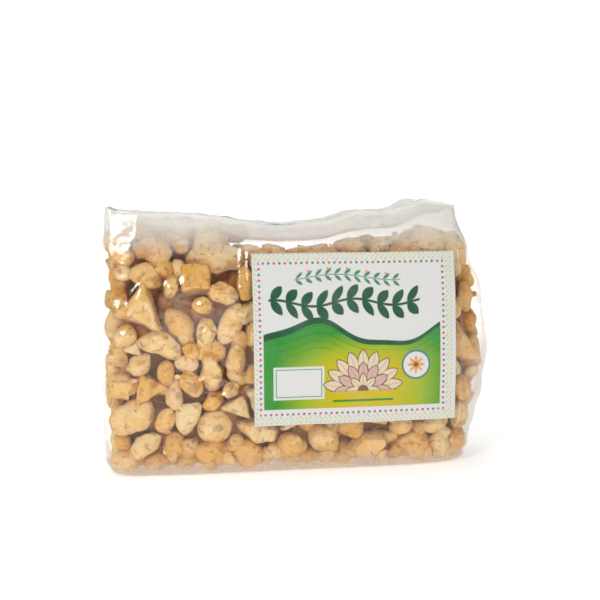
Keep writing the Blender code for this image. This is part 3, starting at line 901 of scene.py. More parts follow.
# %% Put the pieces in the scene
for name, mesh in fine.items():
    if name[5:].isdigit():
        finished(name, mesh, pulp, "pulp", f"pulp_piece_{name[5:]}")
    elif name == "pulp_front_a":
        finished(name, mesh, pulp, "pulp", "pulp_mass")
    else:
        finished(name, mesh, pulp, "pulp")
print("objects of pulp:", len(fine), "faces:", sum(len(m.polygons) for m in fine.values()))

# %% [markdown]
# ## The film
#
# The film is one thin skin. Its grid is laid on the smooth form with even spacing, so that small wrinkles
# come out equally sharp all over. Two things then shape it. Where pieces lie behind it, it is drawn in until
# it rests on them, like cling film over nuts. Where the bag is empty, along the top and at the right end, it
# hangs free and keeps the creases that it got when it was folded.

# %% Lay the film's grid
ALONG, AROUND = 166, 132


def smooth_knots(knots, at):
    """The values at broken steps along a row of knots, on a smooth curve through them."""
    knots = np.array(knots, float)
    left = np.clip(np.floor(at).astype(int), 0, len(knots) - 2)
    share = (at - left)[:, None]
    before, start = knots[np.maximum(left - 1, 0)], knots[left]
    end, after = knots[left + 1], knots[np.minimum(left + 2, len(knots) - 1)]
    slope_in, slope_out = (end - before) / 2, (after - start) / 2
    square, cube = share ** 2, share ** 3
    return (start * (2 * cube - 3 * square + 1) + slope_in * (cube - 2 * square + share)
            + end * (3 * square - 2 * cube) + slope_out * (cube - square))


def film_points(u, step):
    """Points of the film's front half in millimetres, at places u along the bag and steps of its section."""
    depth, share = smooth_knots(SECTION, step).T
    crest = along_line(CREST_LINE, u * CREST_LINE[-1][0])
    share = np.where(step > CREST_STEP, share + np.abs(u) ** 6 * (1 - share), share)
    height = np.clip(crest * share, 0.0, crest)
    reach = np.where(u < 0, along_line(LEFT_EDGE, height), along_line(RIGHT_EDGE, height))
    square = np.where(u < 0, LEFT_SQUARENESS, RIGHT_SQUARENESS)
    taper = (1 - np.minimum(np.abs(u), 1.0) ** square) ** (1 / square)
    return np.stack([u * reach, -np.maximum(depth, 0.0) * taper, height], axis=-1)


def evenly_spaced(parameter, points, count):
    """Values of a parameter that lie at even steps of length along the path it draws."""
    lengths = np.concatenate([[0.0], np.cumsum(np.linalg.norm(np.diff(points, axis=0), axis=1))])
    return np.interp(np.linspace(0.0, lengths[-1], count), lengths, parameter)


t = np.linspace(-1, 1, 6001)
fine_u = np.sign(t) * (1 - (1 - np.abs(t)) ** LEFT_SQUARENESS)
fine_step = np.linspace(0, len(SECTION) - 1, 3401)
even_u = evenly_spaced(fine_u, film_points(fine_u, np.full(len(t), 7.0)), ALONG + 1)
even_step = evenly_spaced(fine_step, film_points(np.zeros(len(fine_step)), fine_step), AROUND + 1)

film_bm = bmesh.new()
bmesh.ops.create_grid(film_bm, x_segments=ALONG, y_segments=AROUND, size=0.5)
column = [round((v.co.x + 0.5) * ALONG) for v in film_bm.verts]
row = [round((v.co.y + 0.5) * AROUND) for v in film_bm.verts]
for v, point in zip(film_bm.verts, film_points(even_u[column], even_step[row])):
    v.co = point
close_by_mirror(film_bm)
film_mesh = bpy.data.meshes.new("film")
film_bm.to_mesh(film_mesh)
smooth_film = BVHTree.FromBMesh(film_bm)
film_bm.free()
print("film:", len(film_mesh.vertices), "points,", len(film_mesh.polygons), "faces")

# %% [markdown]
# A thin sheet that is pulled against lumps takes the smoothest shape that stays outside them. That can be
# found by repetition: each point moves to the mean of its neighbours and a little inwards, and is then
# pushed back out wherever a piece is in the way. The label and the folded mouth stiffen the film under them,
# so there it isn't drawn in. The same goes for one pucker low on the front, which catches the light.
#
# A second number per point, the slack, says how empty the bag is there. Slack film has turned milky from
# being creased, and full film is stretched clear, so the film's material reads it later. Above a height the
# number is raised as well, full or not, and that part is a painted sheen: it whitens the top of the film
# for the light that the top of the bag catches.

# %% Draw the film onto the pieces
AIR = 0.35
MOST_DRAWN_IN = 2.6
LOOK_FROM = 4.0
EMPTY_BEYOND = 12.0
HANGS_FREE_FROM = 90.0
PAINTED_SHEEN_FROM = 104.0
DRAPE_ROUNDS = 90
PULL = 0.09
STAR = (-40.0, 35.0)
STAR_REACH = 11.0

points = np.empty(len(film_mesh.vertices) * 3)
normals = np.empty(len(film_mesh.vertices) * 3)
edges = np.empty(len(film_mesh.edges) * 2, int)
film_mesh.vertices.foreach_get("co", points)
film_mesh.vertex_normals.foreach_get("vector", normals)
film_mesh.edges.foreach_get("vertices", edges)
points, normals, edges = points.reshape(-1, 3), normals.reshape(-1, 3), edges.reshape(-1, 2)

contents = bmesh.new()
for mesh in fine.values():
    contents.from_mesh(mesh)
content_tree = BVHTree.FromBMesh(contents)
contents.free()


def gap_behind(point, normal):
    """How far behind a point of the film the nearest piece is, in millimetres."""
    start = Vector((point + normal * LOOK_FROM) * MM)
    hit = content_tree.ray_cast(start, Vector(-normal), (LOOK_FROM + EMPTY_BEYOND) * MM)[3]
    return EMPTY_BEYOND if hit is None else hit / MM - LOOK_FROM


def inside_patch(points, centre, size, side, edge):
    """1 inside a rectangle on the front or back, falling to 0 over an edge in millimetres."""
    over_x = np.abs(points[:, 0] - centre[0]) - size[0] / 2
    over_z = np.abs(points[:, 2] - centre[1]) - size[1] / 2
    over = np.maximum(over_x, over_z)
    return np.clip(1 - over / edge, 0, 1) * (points[:, 1] * side > 0)


def neighbours_mean(values):
    total = np.zeros_like(values)
    np.add.at(total, edges[:, 0], values[edges[:, 1]])
    np.add.at(total, edges[:, 1], values[edges[:, 0]])
    return total / neighbour_count


neighbour_count = np.bincount(edges.ravel(), minlength=len(points)).astype(float)
gap = np.array([gap_behind(p, n) for p, n in zip(points, normals)])
held = inside_patch(points, LABEL_CENTRE, LABEL_SIZE, -1, 4.0)
held = np.maximum(held, inside_patch(points, FLAP_CENTRE, FLAP_SIZE, 1, 4.0))
held = np.maximum(held, np.clip(1 - points[:, 2] / 1.5, 0, 1))
room = np.minimum(gap - AIR, MOST_DRAWN_IN)

near = gap.copy()
for _ in range(7):
    lowest = near.copy()
    np.minimum.at(lowest, edges[:, 0], near[edges[:, 1]])
    np.minimum.at(lowest, edges[:, 1], near[edges[:, 0]])
    near = lowest
filled = np.clip((EMPTY_BEYOND - near) / 6.0, 0, 1)
tight = np.clip((HANGS_FREE_FROM - np.abs(points[:, 0])) / 10.0, 0.1, 1)
for _ in range(10):
    filled = neighbours_mean(filled)
from_star = np.hypot(points[:, 0] - STAR[0], points[:, 2] - STAR[1])
puckered = np.clip(1.4 - from_star / STAR_REACH, 0, 1) * (points[:, 1] < 0)
stiff = np.maximum(held, puckered)
drawn_in = np.zeros(len(points))
for _ in range(DRAPE_ROUNDS):
    drawn_in = np.minimum(neighbours_mean(drawn_in) + PULL * filled * tight, room) * (1 - stiff)

slack_and_sheen = np.clip(1 - filled * 1.3, 0, 1)
# Painted sheen: above this height the film is whitened, full or not, for the light the top of the bag
# catches.
slack_and_sheen = np.maximum(slack_and_sheen, np.clip((points[:, 2] - PAINTED_SHEEN_FROM) / 13.0, 0, 1))
low_right = np.clip((points[:, 0] - 80.0) / 10.0, 0, 1) * np.clip((62.0 - points[:, 2]) / 30.0, 0, 0.8)
slack_and_sheen = np.maximum(slack_and_sheen, low_right)
for _ in range(4):
    slack_and_sheen = neighbours_mean(slack_and_sheen)
print("film drawn in by up to", round(float(drawn_in.max()), 2), "mm")
print("film pushed out by up to", round(float(-drawn_in.min()), 2), "mm")

# %% [markdown]
# Folds in film are straight ridges that fade out at both ends. Each one here is a line between two points
# near the surface: a point of the film rises by how close it is to the line. Most lie in the empty film,
# and a few run over the full part. Small crumpling is noise, folded over to give it sharp tops. At the two
# top corners the grid's points lie close together, and creases would bunch them into spikes. So the points
# round each corner are moved to the mean of their neighbours a few times, which blunts it.

# %% Creases and crumpling
CREASES = 74
CREASE_HEIGHT = (0.25, 0.9)
CREASE_WIDTH = (1.8, 4.5)
CORNER_REACH = 9.0
CORNER_ROUNDS = 30


def crease_lines(rng):
    """Lines of creases as (start, end, height, width), in millimetres."""
    lines = []
    for number in range(CREASES):
        where = number % 5
        side = -1.0 if rng.random() < 0.6 else 1.0
        if where < 3:
            start = np.array([rng.uniform(-92, 84), side * rng.uniform(8, 24), rng.uniform(106, 127)])
            way = np.array([rng.normal(0, 1.0), 0.0, rng.normal(0, 0.45)])
        elif where == 3:
            start = np.array([rng.uniform(76, 92), side * rng.uniform(6, 26), rng.uniform(5, 120)])
            way = np.array([rng.normal(0, 0.5), 0.0, rng.normal(0, 0.8)])
        else:
            start = np.array([rng.uniform(-94, 90), side * 28.0, rng.uniform(4, 110)])
            way = np.array([rng.normal(), 0.0, rng.normal()])
        reach = rng.uniform(12, 46) * way / np.linalg.norm(way)
        spots = [np.array(smooth_film.find_nearest(Vector(p))[0]) for p in (start, start + reach)]
        height = rng.uniform(*CREASE_HEIGHT) * (1 if rng.random() < 0.65 else -1) * (1 if where < 4 else 0.55)
        lines.append((*spots, height, rng.uniform(*CREASE_WIDTH)))
    return lines


def star_lines():
    """The pucker low on the front, where a few short folds meet."""
    x, z = STAR
    middle = np.array(smooth_film.find_nearest(Vector((x, -40.0, z)))[0])
    lines = []
    for angle, reach, height, width in (
        (35, 13, 2.9, 5.6), (213, 13, 2.8, 5.6), (150, 8, 1.2, 3.0), (262, 9, 1.0, 3.0), (330, 7, 1.1, 3.0),
    ):
        way = np.array([math.cos(math.radians(angle)), 0.0, math.sin(math.radians(angle))])
        lines.append((middle - way * reach * 0.4, middle + way * reach, height, width))
    return lines


def crease_rise(points, line, roundness=1.4):
    start, end, height, width = line
    along = end - start
    share = np.clip(((points - start) @ along) / (along @ along), -0.2, 1.2)
    away = np.linalg.norm(points - (start + np.clip(share, 0, 1)[:, None] * along), axis=1)
    fade = np.clip(1 - np.abs(share - 0.5) * 1.7, 0, 1) ** 0.7
    return height * np.clip(1 - away / width, 0, 1) ** roundness * fade


def ridged(point, size, seed):
    return 1 - 2 * abs(noise.noise(Vector(point) / size + Vector((seed, -seed, seed * 0.5))))


rise = sum(crease_rise(points, line) for line in crease_lines(np.random.default_rng(SEED + 5)))
crumple = np.array([
    0.65 * ridged(p, 15.0, 3.1) + 0.35 * ridged(p, 6.5, 7.7) + 0.15 * ridged(p, 3.0, 5.2) for p in points])
rise = rise * (0.35 + 0.65 * slack_and_sheen) + (crumple - 0.5) * (0.12 + 0.75 * slack_and_sheen)
star = np.max([crease_rise(points, line, 1.0) for line in star_lines()], axis=0)
rise = rise * (1 - np.clip(star, 0, 1)) + star
rise *= 1 - held
final = points + normals * (rise - drawn_in)[:, None]
for lean in (-1.0, 1.0):
    tip = final[np.argmax(final[:, 2] + lean * final[:, 0])]
    blunt = np.clip(1.3 - np.linalg.norm(final - tip, axis=1) / CORNER_REACH, 0, 1)[:, None]
    for _ in range(CORNER_ROUNDS):
        smoothed = np.stack([neighbours_mean(final[:, axis]) for axis in range(3)], axis=1)
        final += (smoothed - final) * blunt
final[:, 2] = np.clip(final[:, 2], 0.0, None)
film_mesh.vertices.foreach_set("co", (final * MM).ravel())
put_values(film_mesh, "slack_and_sheen", slack_and_sheen)
film_mesh.shade_smooth()
print("film rises by", round(float(rise.min()), 2), "to", round(float(rise.max()), 2), "mm")

# %% [markdown]
# ## The film's finish
#
# Clear film lets most light straight through, mirrors a little of it, and more at a glancing angle. It is
# mixed from a Transparent shader and one Principled shader. The mix follows the angle, and the metallic
# share of the Principled part says how much of what is left is mirror and how much is pale haze. The haze is
# stronger where the film is slack and where powder clings to it. Along the top of the bag it is also a
# painted sheen, a white that stands for the light that the top of the film catches.

# %% Film materials
# Pale haze colour; along the top of the bag it is painted sheen as well.
FILM_HAZE_AND_SHEEN = (0.94, 0.93, 0.89)
POWDER_ON_FILM = (0.84, 0.70, 0.56)


def film_material(name, haze_colour, haze, slack_and_sheen_haze, powder_share, roughness, wrinkle=0.35):
    """Clear film. The haze covers it all over, and the slack haze where it is slack and, as painted sheen,
    along the top.
    """
    mat, shader = new_material(name)
    tree = mat.node_tree
    place = object_place(tree)
    angle = tree.nodes.new("ShaderNodeLayerWeight")
    angle.inputs["Blend"].default_value = 0.5
    mirror = Field(angle.outputs["Facing"]) ** 4.0 * 0.7 + 0.03
    dust = place_group(
        tree, powder, Place=place, Everywhere=powder_share, At_The_Bottom=powder_share * 18.0,
        Bottom_Height=0.010)
    dusty = Field(dust.outputs["Mask"])
    # The slack number also carries the painted sheen along the top of the film.
    veil = haze + attribute(tree, "slack_and_sheen") * slack_and_sheen_haze
    veil = veil * (0.6 + cloudy(place, 14.0, detail=3.0) * 0.8) + dusty
    cover = (mirror + veil).clamped()
    tree.links.new(mixed(dusty / (veil + 0.001), haze_colour, POWDER_ON_FILM), shader.inputs["Base Color"])
    tree.links.new((mirror / cover).clamped().socket, shader.inputs["Metallic"])
    shader.inputs["Roughness"].default_value = roughness
    bump = tree.nodes.new("ShaderNodeBump")
    bump.inputs["Strength"].default_value = wrinkle
    bump.inputs["Distance"].default_value = 0.4 * MM
    tree.links.new((cloudy(place, 3.2, detail=3.0) + cloudy(place, 11.0) * 2.0).socket, bump.inputs["Height"])
    tree.links.new(bump.outputs["Normal"], shader.inputs["Normal"])
    clear = tree.nodes.new("ShaderNodeBsdfTransparent")
    blend = tree.nodes.new("ShaderNodeMixShader")
    tree.links.new(cover.socket, blend.inputs[0])
    tree.links.new(clear.outputs[0], blend.inputs[1])
    tree.links.new(shader.outputs[0], blend.inputs[2])
    tree.links.new(blend.outputs[0], tree.nodes["Material Output"].inputs["Surface"])
    return mat


clear_film = film_material("clear film", FILM_HAZE_AND_SHEEN, 0.003, 0.34, 0.02, 0.14)
folded_film = film_material("folded film", FILM_HAZE_AND_SHEEN, 0.16, 0.0, 0.04, 0.2, wrinkle=0.6)
clear_tape = film_material("clear tape", (0.84, 0.76, 0.52), 0.24, 0.0, 0.03, 0.22, wrinkle=0.25)
print("film materials made")

# %% Give the film its wall
FILM_THICK = 0.12


def give_wall(obj, thick, outwards):
    wall = obj.modifiers.new("wall", "SOLIDIFY")
    wall.thickness = thick * MM
    wall.offset = 1.0 if outwards else -1.0


film = finished("film", film_mesh, clear_film, "clear_film", "film_bag")
give_wall(film, FILM_THICK, outwards=False)
print("film wall:", FILM_THICK, "mm")

# %% [markdown]
# ## Sheets laid on the film: the label, the folded mouth and its tape
#
# The paper label, the folded mouth and the tape that holds it all follow the bag's bulge. Each is a fine grid
# that is dropped onto the smooth form from the front or the back, lifted a little, and given a thickness.
# The grid keeps its flat place in a UV map, which is what the label's print reads.

# %% Lay a sheet
def laid_sheet(name, centre, size, cell, side, lift, wave, seed, mat, slot, node, thick):
    """A sheet on the front (side -1) or back (side 1), with a cell size and waves in millimetres."""
    steps = [max(2, round(length / cell)) for length in size]
    bm = bmesh.new()
    bmesh.ops.create_grid(bm, x_segments=steps[0], y_segments=steps[1], size=0.5)
    flat = bm.loops.layers.uv.new("flat")
    for face in bm.faces:
        for loop in face.loops:
            loop[flat].uv = (loop.vert.co.x + 0.5, loop.vert.co.y + 0.5)
    for v in bm.verts:
        start = Vector((centre[0] + v.co.x * size[0], side * 200.0, centre[1] + v.co.y * size[1]))
        spot, outward = smooth_film.ray_cast(start, Vector((0, -side, 0)))[:2]
        v.co = spot + outward * (lift(start) + wave * noise.noise(spot / 19.0 + Vector((seed, seed, 0))))
    inner = [v for v in bm.verts if not v.is_boundary]
    for _ in range(4):
        bmesh.ops.smooth_vert(
            bm, verts=inner, factor=0.5, use_axis_x=False, use_axis_y=True, use_axis_z=False)
    if side > 0:
        bmesh.ops.reverse_faces(bm, faces=bm.faces)
    bmesh.ops.scale(bm, verts=bm.verts, vec=Vector((MM, MM, MM)))
    mesh = bpy.data.meshes.new(name)
    bm.to_mesh(mesh)
    bm.free()
    mesh.shade_smooth()
    obj = finished(name, mesh, mat, slot, node)
    give_wall(obj, thick, outwards=True)
    print(name, len(mesh.polygons), "faces")


def folded_mouth_lift(start):
    """The folded mouth lies in shallow pleats that run along it."""
    across = (start.z - FLAP_CENTRE[1]) / FLAP_SIZE[1]
    wide_pleats = 0.28 * math.sin(start.x * 0.55 + across * 2.0)
    return 0.75 + wide_pleats + 0.18 * math.sin(start.x * 1.3 - across * 5.0)


def tape_lift(start):
    """The tape lies on the film and climbs onto the folded mouth."""
    flap_edge = FLAP_CENTRE[0] - FLAP_SIZE[0] / 2
    climbed = min(max((start.x - flap_edge + 4.0) / 5.0, 0.0), 1.0)
    return 0.45 + 1.35 * climbed * climbed * (3 - 2 * climbed)


laid_sheet("folded_mouth", FLAP_CENTRE, FLAP_SIZE, 0.9, 1, folded_mouth_lift, 0.25, 2.0, folded_film,
           "clear_film", "mouth_flap", 0.3)
laid_sheet("tape", TAPE_CENTRE, TAPE_SIZE, 0.8, 1, tape_lift, 0.1, 5.0, clear_tape,
           "clear_tape", "closure_tape", 0.12)
print("mouth and tape laid on the back")

# %% [markdown]
# ## The label's print
#
# The label is printed paper, a little glossy. Its design is made of plain shapes, each of them a mask: 1
# where there is ink and 0 elsewhere. A shape is a formula for how far a spot lies inside it, in millimetres,
# turned into a soft edge. Repeating a shape only takes the fraction of a place along a row, so a border of
# hundreds of dots costs no more than one dot.

# %% Shapes for printing
PRINT_EDGE = 0.32


def ink(inside):
    """The mask of a shape from how far inside it each spot lies, in millimetres."""
    return (inside / PRINT_EDGE + 0.5).clamped()


def disc(x, z, centre_x, centre_z, radius):
    return radius - (((x - centre_x) ** 2.0) + ((z - centre_z) ** 2.0)) ** 0.5


def box(x, z, low_x, low_z, high_x, high_z):
    return lower(lower(x - low_x, high_x - x), lower(z - low_z, high_z - z))


def leaf(x, z, centre_x, centre_z, half_long, half_wide, slant):
    """A leaf with pointed ends: where two discs overlap."""
    cos, sin = math.cos(math.radians(slant)), math.sin(math.radians(slant))
    along = (x - centre_x) * cos + (z - centre_z) * sin
    across = ((z - centre_z) * cos - (x - centre_x) * sin).size()
    radius = (half_long ** 2 + half_wide ** 2) / (2 * half_wide)
    return radius - ((along ** 2.0) + (across + (radius - half_wide)) ** 2.0) ** 0.5


def in_row(along, pitch, start=0.0):
    """The place within one cell of a row, from minus to plus half a pitch."""
    return (((along - start) / pitch).fraction() - 0.5) * pitch


print("the print's edges fade over", PRINT_EDGE, "mm")

# %% [markdown]
# The design has the colours and the scale of a printed food label: a white upper part, a green and yellow
# field below it, and a border of fine dots. The motifs are general ones: rolling hills, a garland and a twig
# of leaves, a rosette and a fan of petals. Labels are cut a little off their print, so the border's outermost
# row runs off the left edge. All places are in millimetres from the label's lower left corner. The garland
# and the twig start and end where one leaf pair's cell meets the next, so no leaf is cut in two.

# %% The print as a node group
PAPER = (0.70, 0.70, 0.68)
DARK_GREEN = (0.003, 0.085, 0.03)
LEAF_GREEN = (0.02, 0.27, 0.02)
LIME = (0.30, 0.44, 0.01)
YELLOW = (0.60, 0.46, 0.0)
TEAL = (0.05, 0.20, 0.20)
RED = (0.62, 0.09, 0.06)
ORANGE = (0.78, 0.33, 0.10)
PALE_YELLOW = (0.72, 0.62, 0.20)
PALE_LIME = (0.42, 0.60, 0.22)
SEED_CREAM = (0.72, 0.60, 0.42)
SEED_PINK = (0.62, 0.42, 0.36)
SEED_BROWN = (0.22, 0.10, 0.04)
WIDE, TALL = LABEL_SIZE

printed, given, end = new_group(
    "label print", (("Flat", "NodeSocketVector", None),), (("Color", "NodeSocketColor"),))
split = printed.nodes.new("ShaderNodeSeparateXYZ")
printed.links.new(given["Flat"], split.inputs[0])
x, z = Field(split.outputs[0]) * WIDE, Field(split.outputs[1]) * TALL
colour = PAPER

# The border: how far in from the printed edge, and how far along the nearest side
in_x = lower(x + 2.8, WIDE - 0.4 - x)
in_z = lower(z + 0.8, TALL + 1.3 - z)
inward = lower(in_x, in_z)
beside = Field.math("GREATER_THAN", in_z, in_x)
along = x + (z - x) * beside
for depth, dot_colour, pitch, start, radius in (
    (1.9, PALE_LIME, 2.3, 0.0, 0.40), (2.9, PALE_YELLOW, 2.3, 1.1, 0.42), (3.9, PALE_LIME, 2.3, 0.3, 0.40),
    (4.7, ORANGE, 4.6, 0.8, 0.36), (5.9, TEAL, 5.2, 0.0, 0.60), (5.9, RED, 5.2, 2.6, 0.60),
):
    dots = ink(disc(in_row(along, pitch, start), inward, 0.0, depth, radius))
    colour = mixed(dots, colour, dot_colour)

# The field: two hills, green at its ends and yellow between them
crest = 41.0 + Field.math("SINE", x * 0.088 - 0.9) * 5.5 + Field.math("SINE", x * 0.21 + 1.0) * 1.2
field = box(x, z, 4.6, 7.6, WIDE - 8.0, 60.0)
behind = ink(lower(field, crest + 3.4 - x * 0.018 - z))
hills = ink(lower(field, crest - z))
middle = step_between((x - 52.0).size(), 44.0, 10.0) * step_between(z, 44.0, 27.0)
ground = mixed(step_between(middle, 0.05, 0.5), LEAF_GREEN, LIME)
ground = mixed(step_between(middle, 0.40, 0.95), ground, YELLOW)
colour = mixed(behind, colour, DARK_GREEN)
colour = mixed(hills, colour, ground)
furrows = ink(0.22 - in_row(z - crest * 0.8, 3.4).size()) * hills * step_between(z, 30.0, 36.0)
colour = mixed(furrows * 0.35, colour, DARK_GREEN)

# The garland in the upper part: a wavy stem with bold leaves on both sides, and a thinner twig above it
stem = 57.0 + Field.math("SINE", x * 0.165) * 1.6
reach = step_between(x, 7.2, 7.3) * step_between(x, 79.2, 79.1)
from_stem = z - stem
near = in_row(x, 7.2)
bold = higher(leaf(near, from_stem, 0.2, 3.3, 4.3, 2.1, 52), leaf(near, from_stem, 0.2, -3.3, 4.3, 2.1, -52))
bold = higher(bold, 0.6 - from_stem.size())
colour = mixed(ink(bold) * reach, colour, DARK_GREEN)
twig = z - (68.5 - Field.math("SINE", x * 0.11 + 0.4) * 1.5)
twig_reach = step_between(x, 19.6, 19.7) * step_between(x, 70.2, 70.1)
small = in_row(x, 4.6, 1.2)
fine_leaves = higher(leaf(small, twig, 0.1, 1.6, 2.1, 0.75, 40), leaf(small, twig, 0.1, -1.6, 2.1, 0.75, -40))
colour = mixed(ink(higher(fine_leaves, 0.2 - twig.size())) * twig_reach, colour, (0.06, 0.24, 0.12))
berries = ink(disc(in_row(x, 9.2, 3.4), twig, 0.0, 2.9, 0.62)) * twig_reach
colour = mixed(berries, colour, ORANGE)

# The rosette at the right: a ring, a pale ground and eight petals
across, up = x - 77.0, z - 27.0
from_middle = (across ** 2.0 + up ** 2.0) ** 0.5
turn = Field.math("ARCTAN2", up, across)
petals = 3.1 + Field.math("COSINE", turn * 8.0) * 1.15 - from_middle
colour = mixed(ink(7.0 - from_middle), colour, TEAL)
colour = mixed(ink(6.1 - from_middle), colour, PAPER)
colour = mixed(ink(petals), colour, ORANGE)
colour = mixed(ink(1.2 - from_middle), colour, SEED_BROWN)

# A blank white box at the left with a thin green line in it, and a pale band at the foot of the field
blank = box(x, z, 9.0, 12.0, 33.0, 27.5)
colour = mixed(ink(blank), colour, PAPER)
colour = mixed(ink(0.2 - (blank - 1.3).size()), colour, LEAF_GREEN)
foot = box(x, z, 37.0, 10.2, 66.0, 11.3)
colour = mixed(ink(foot), colour, LEAF_GREEN)

# A fan of pointed petals in the middle of the field, on a brown half disc
across, up = x - 51.5, z - 15.5
from_middle = (across ** 2.0 + up ** 2.0) ** 0.5
turn = Field.math("ARCTAN2", across, up)
above = ink(up + 0.3)
for radius, count, half_long, half_wide, shade in (
    (14.2, 9.0, 4.8, 2.3, SEED_CREAM), (9.0, 6.0, 4.2, 2.1, SEED_PINK), (4.6, 4.0, 3.4, 1.6, SEED_CREAM),
):
    pitch = math.pi / count
    around = in_row(turn, pitch, pitch / 2) * from_middle
    petal = leaf(from_middle, around, radius, 0.0, half_long, half_wide, 0)
    colour = mixed(ink(petal + 0.5) * above, colour, SEED_BROWN)
    colour = mixed(ink(petal) * above, colour, shade)
    vein = lower(petal - 0.6, 0.12 - around.size())
    colour = mixed(ink(vein) * above * 0.6, colour, SEED_BROWN)
colour = mixed(ink(lower(2.6 - from_middle, up + 0.3)), colour, SEED_BROWN)
printed.links.new(colour, end.inputs["Color"])
print("label print:", len(printed.nodes), "nodes")

# %% [markdown]
# ## The label's paper
#
# The paper is slightly glossy, as printed labels are. A faint noise makes the white uneven, and powder from
# the bag has rubbed off on it here and there.

# %% Label material, and the label
label_paper, shader = new_material("printed label paper")
tree = label_paper.node_tree
flat = tree.nodes.new("ShaderNodeUVMap")
flat.uv_map = "flat"
art = place_group(tree, printed, Flat=flat.outputs[0])
place = object_place(tree)
dust = place_group(tree, powder, Place=place, Everywhere=0.05, At_The_Bottom=0.0, Bottom_Height=0.01)
worn = mixed(Field(dust.outputs["Mask"]), art.outputs["Color"], (0.78, 0.72, 0.62))
tree.links.new(mixed(step_between(cloudy(place, 16.0), 0.35, 0.75) * 0.08, worn, (0.60, 0.59, 0.60)),
               shader.inputs["Base Color"])
shader.inputs["Roughness"].default_value = 0.45
shader.inputs["Specular IOR Level"].default_value = 0.2
bump = tree.nodes.new("ShaderNodeBump")
bump.inputs["Strength"].default_value = 0.15
bump.inputs["Distance"].default_value = 0.2 * MM
tree.links.new(cloudy(place, 1.1, detail=3.0).socket, bump.inputs["Height"])
tree.links.new(bump.outputs["Normal"], shader.inputs["Normal"])


def label_lift(start):
    """The paper lies just off the film, and its corners stand up a little."""
    off_x = abs(start.x - LABEL_CENTRE[0]) / (LABEL_SIZE[0] / 2)
    off_z = abs(start.z - LABEL_CENTRE[1]) / (LABEL_SIZE[1] / 2)
    return 0.55 + 0.5 * (off_x * off_z) ** 6


laid_sheet("label", LABEL_CENTRE, LABEL_SIZE, 0.62, -1, label_lift, 0.35, 9.0, label_paper,
           "label_paper", "paper_label", 0.2)

# %% [markdown]
# ## Torn fibres
#
# Red-brown fibres run through baobab pulp, and a few lie loose against the film. Each is a thin tapered rod
# that is cut into short lengths and bent.

# %% Fibres
FIBRES = 46
fibre_material, shader = new_material("pulp fibre")
tree = fibre_material.node_tree
pale = step_between(cloudy(object_place(tree), 2.0), 0.4, 0.65)
tree.links.new(mixed(pale, (0.42, 0.17, 0.07), (0.58, 0.33, 0.15)), shader.inputs["Base Color"])
shader.inputs["Roughness"].default_value = 0.8
fibre_rng = np.random.default_rng(SEED + 6)
fibres = bmesh.new()
for _ in range(FIBRES):
    length = fibre_rng.uniform(5, 13)
    bm = bmesh.new()
    bmesh.ops.create_cone(bm, cap_ends=True, segments=5, radius1=0.2, radius2=0.08, depth=length)
    sides = [e for e in bm.edges if abs((e.verts[0].co - e.verts[1].co).z) > length / 2]
    bmesh.ops.subdivide_edges(bm, edges=sides, cuts=7)
    bend, twist = fibre_rng.uniform(-0.35, 0.35), fibre_rng.uniform(0.5, 1.1)
    for v in bm.verts:
        along = v.co.z / length * 2
        v.co += Vector((bend * length * (along * along - 0.4), 0.25 * math.sin(along * 3 * twist), 0.0))
    place = fibre_rng.uniform(-88, 88), fibre_rng.choice((-30.0, 30.0)), fibre_rng.uniform(4, 112)
    lie = {
        "place": np.array(place), "along": fibre_rng.normal(size=3), "tilt": random_turn(fibre_rng, 10),
        "half": np.array([5.0, 0.3, 0.3]), "behind": 0.1,
    }
    seat_piece(lie, envelope)
    onto_film = Matrix.Rotation(math.pi / 2, 4, "X")
    bmesh.ops.transform(bm, matrix=piece_place(lie) @ onto_film, verts=bm.verts)
    bmesh.ops.scale(bm, verts=bm.verts, vec=Vector((MM, MM, MM)))
    part = bpy.data.meshes.new("fibre")
    bm.to_mesh(part)
    bm.free()
    fibres.from_mesh(part)
    bpy.data.meshes.remove(part)
fibre_mesh = bpy.data.meshes.new("fibres")
fibres.to_mesh(fibre_mesh)
fibres.free()
fibre_mesh.shade_smooth()
finished("fibres", fibre_mesh, fibre_material, "pulp")
print("fibres:", FIBRES, "faces:", len(fibre_mesh.polygons))

# %% [markdown]
# ## Studio
#
# The picture is a product shot on white, with soft light from all round. A softbox and a small key light at
# the upper left give the pieces their shape. Beside them hangs a bright disc that lights nothing directly
# and is only mirrored, which gives the film its glints. The table curves up into the backdrop and glows
# faintly, which keeps it white all over.

# %% Floor and backdrop
floor_bm = bmesh.new()
corner = [floor_bm.verts.new((-8.0, -6.0, 0.0)), floor_bm.verts.new((8.0, -6.0, 0.0))]
edge = floor_bm.edges.new(corner)
flat_part = bmesh.ops.extrude_edge_only(floor_bm, edges=[edge])
moved = [g for g in flat_part["geom"] if isinstance(g, bmesh.types.BMVert)]
bmesh.ops.translate(floor_bm, verts=moved, vec=Vector((0, 8.0, 0)))
rim = [g for g in flat_part["geom"] if isinstance(g, bmesh.types.BMEdge) and all(v in moved for v in g.verts)]
bmesh.ops.spin(floor_bm, geom=moved + rim, cent=Vector((0, 2.0, 1.0)), axis=Vector((1, 0, 0)),
               angle=math.radians(90), steps=24, use_merge=False)
bmesh.ops.recalc_face_normals(floor_bm, faces=floor_bm.faces)
floor_mesh = bpy.data.meshes.new("backdrop")
floor_bm.to_mesh(floor_mesh)
floor_bm.free()
floor_mesh.shade_smooth()
backdrop_white, shader = new_material("backdrop white")
shader.inputs["Base Color"].default_value = (0.92, 0.92, 0.92, 1.0)
shader.inputs["Roughness"].default_value = 0.9
shader.inputs["Emission Color"].default_value = (1.0, 1.0, 1.0, 1.0)
shader.inputs["Emission Strength"].default_value = 0.36
floor_mesh.materials.append(backdrop_white)
floor = bpy.data.objects.new("floor", floor_mesh)
bpy.context.scene.collection.objects.link(floor)
print("floor made")

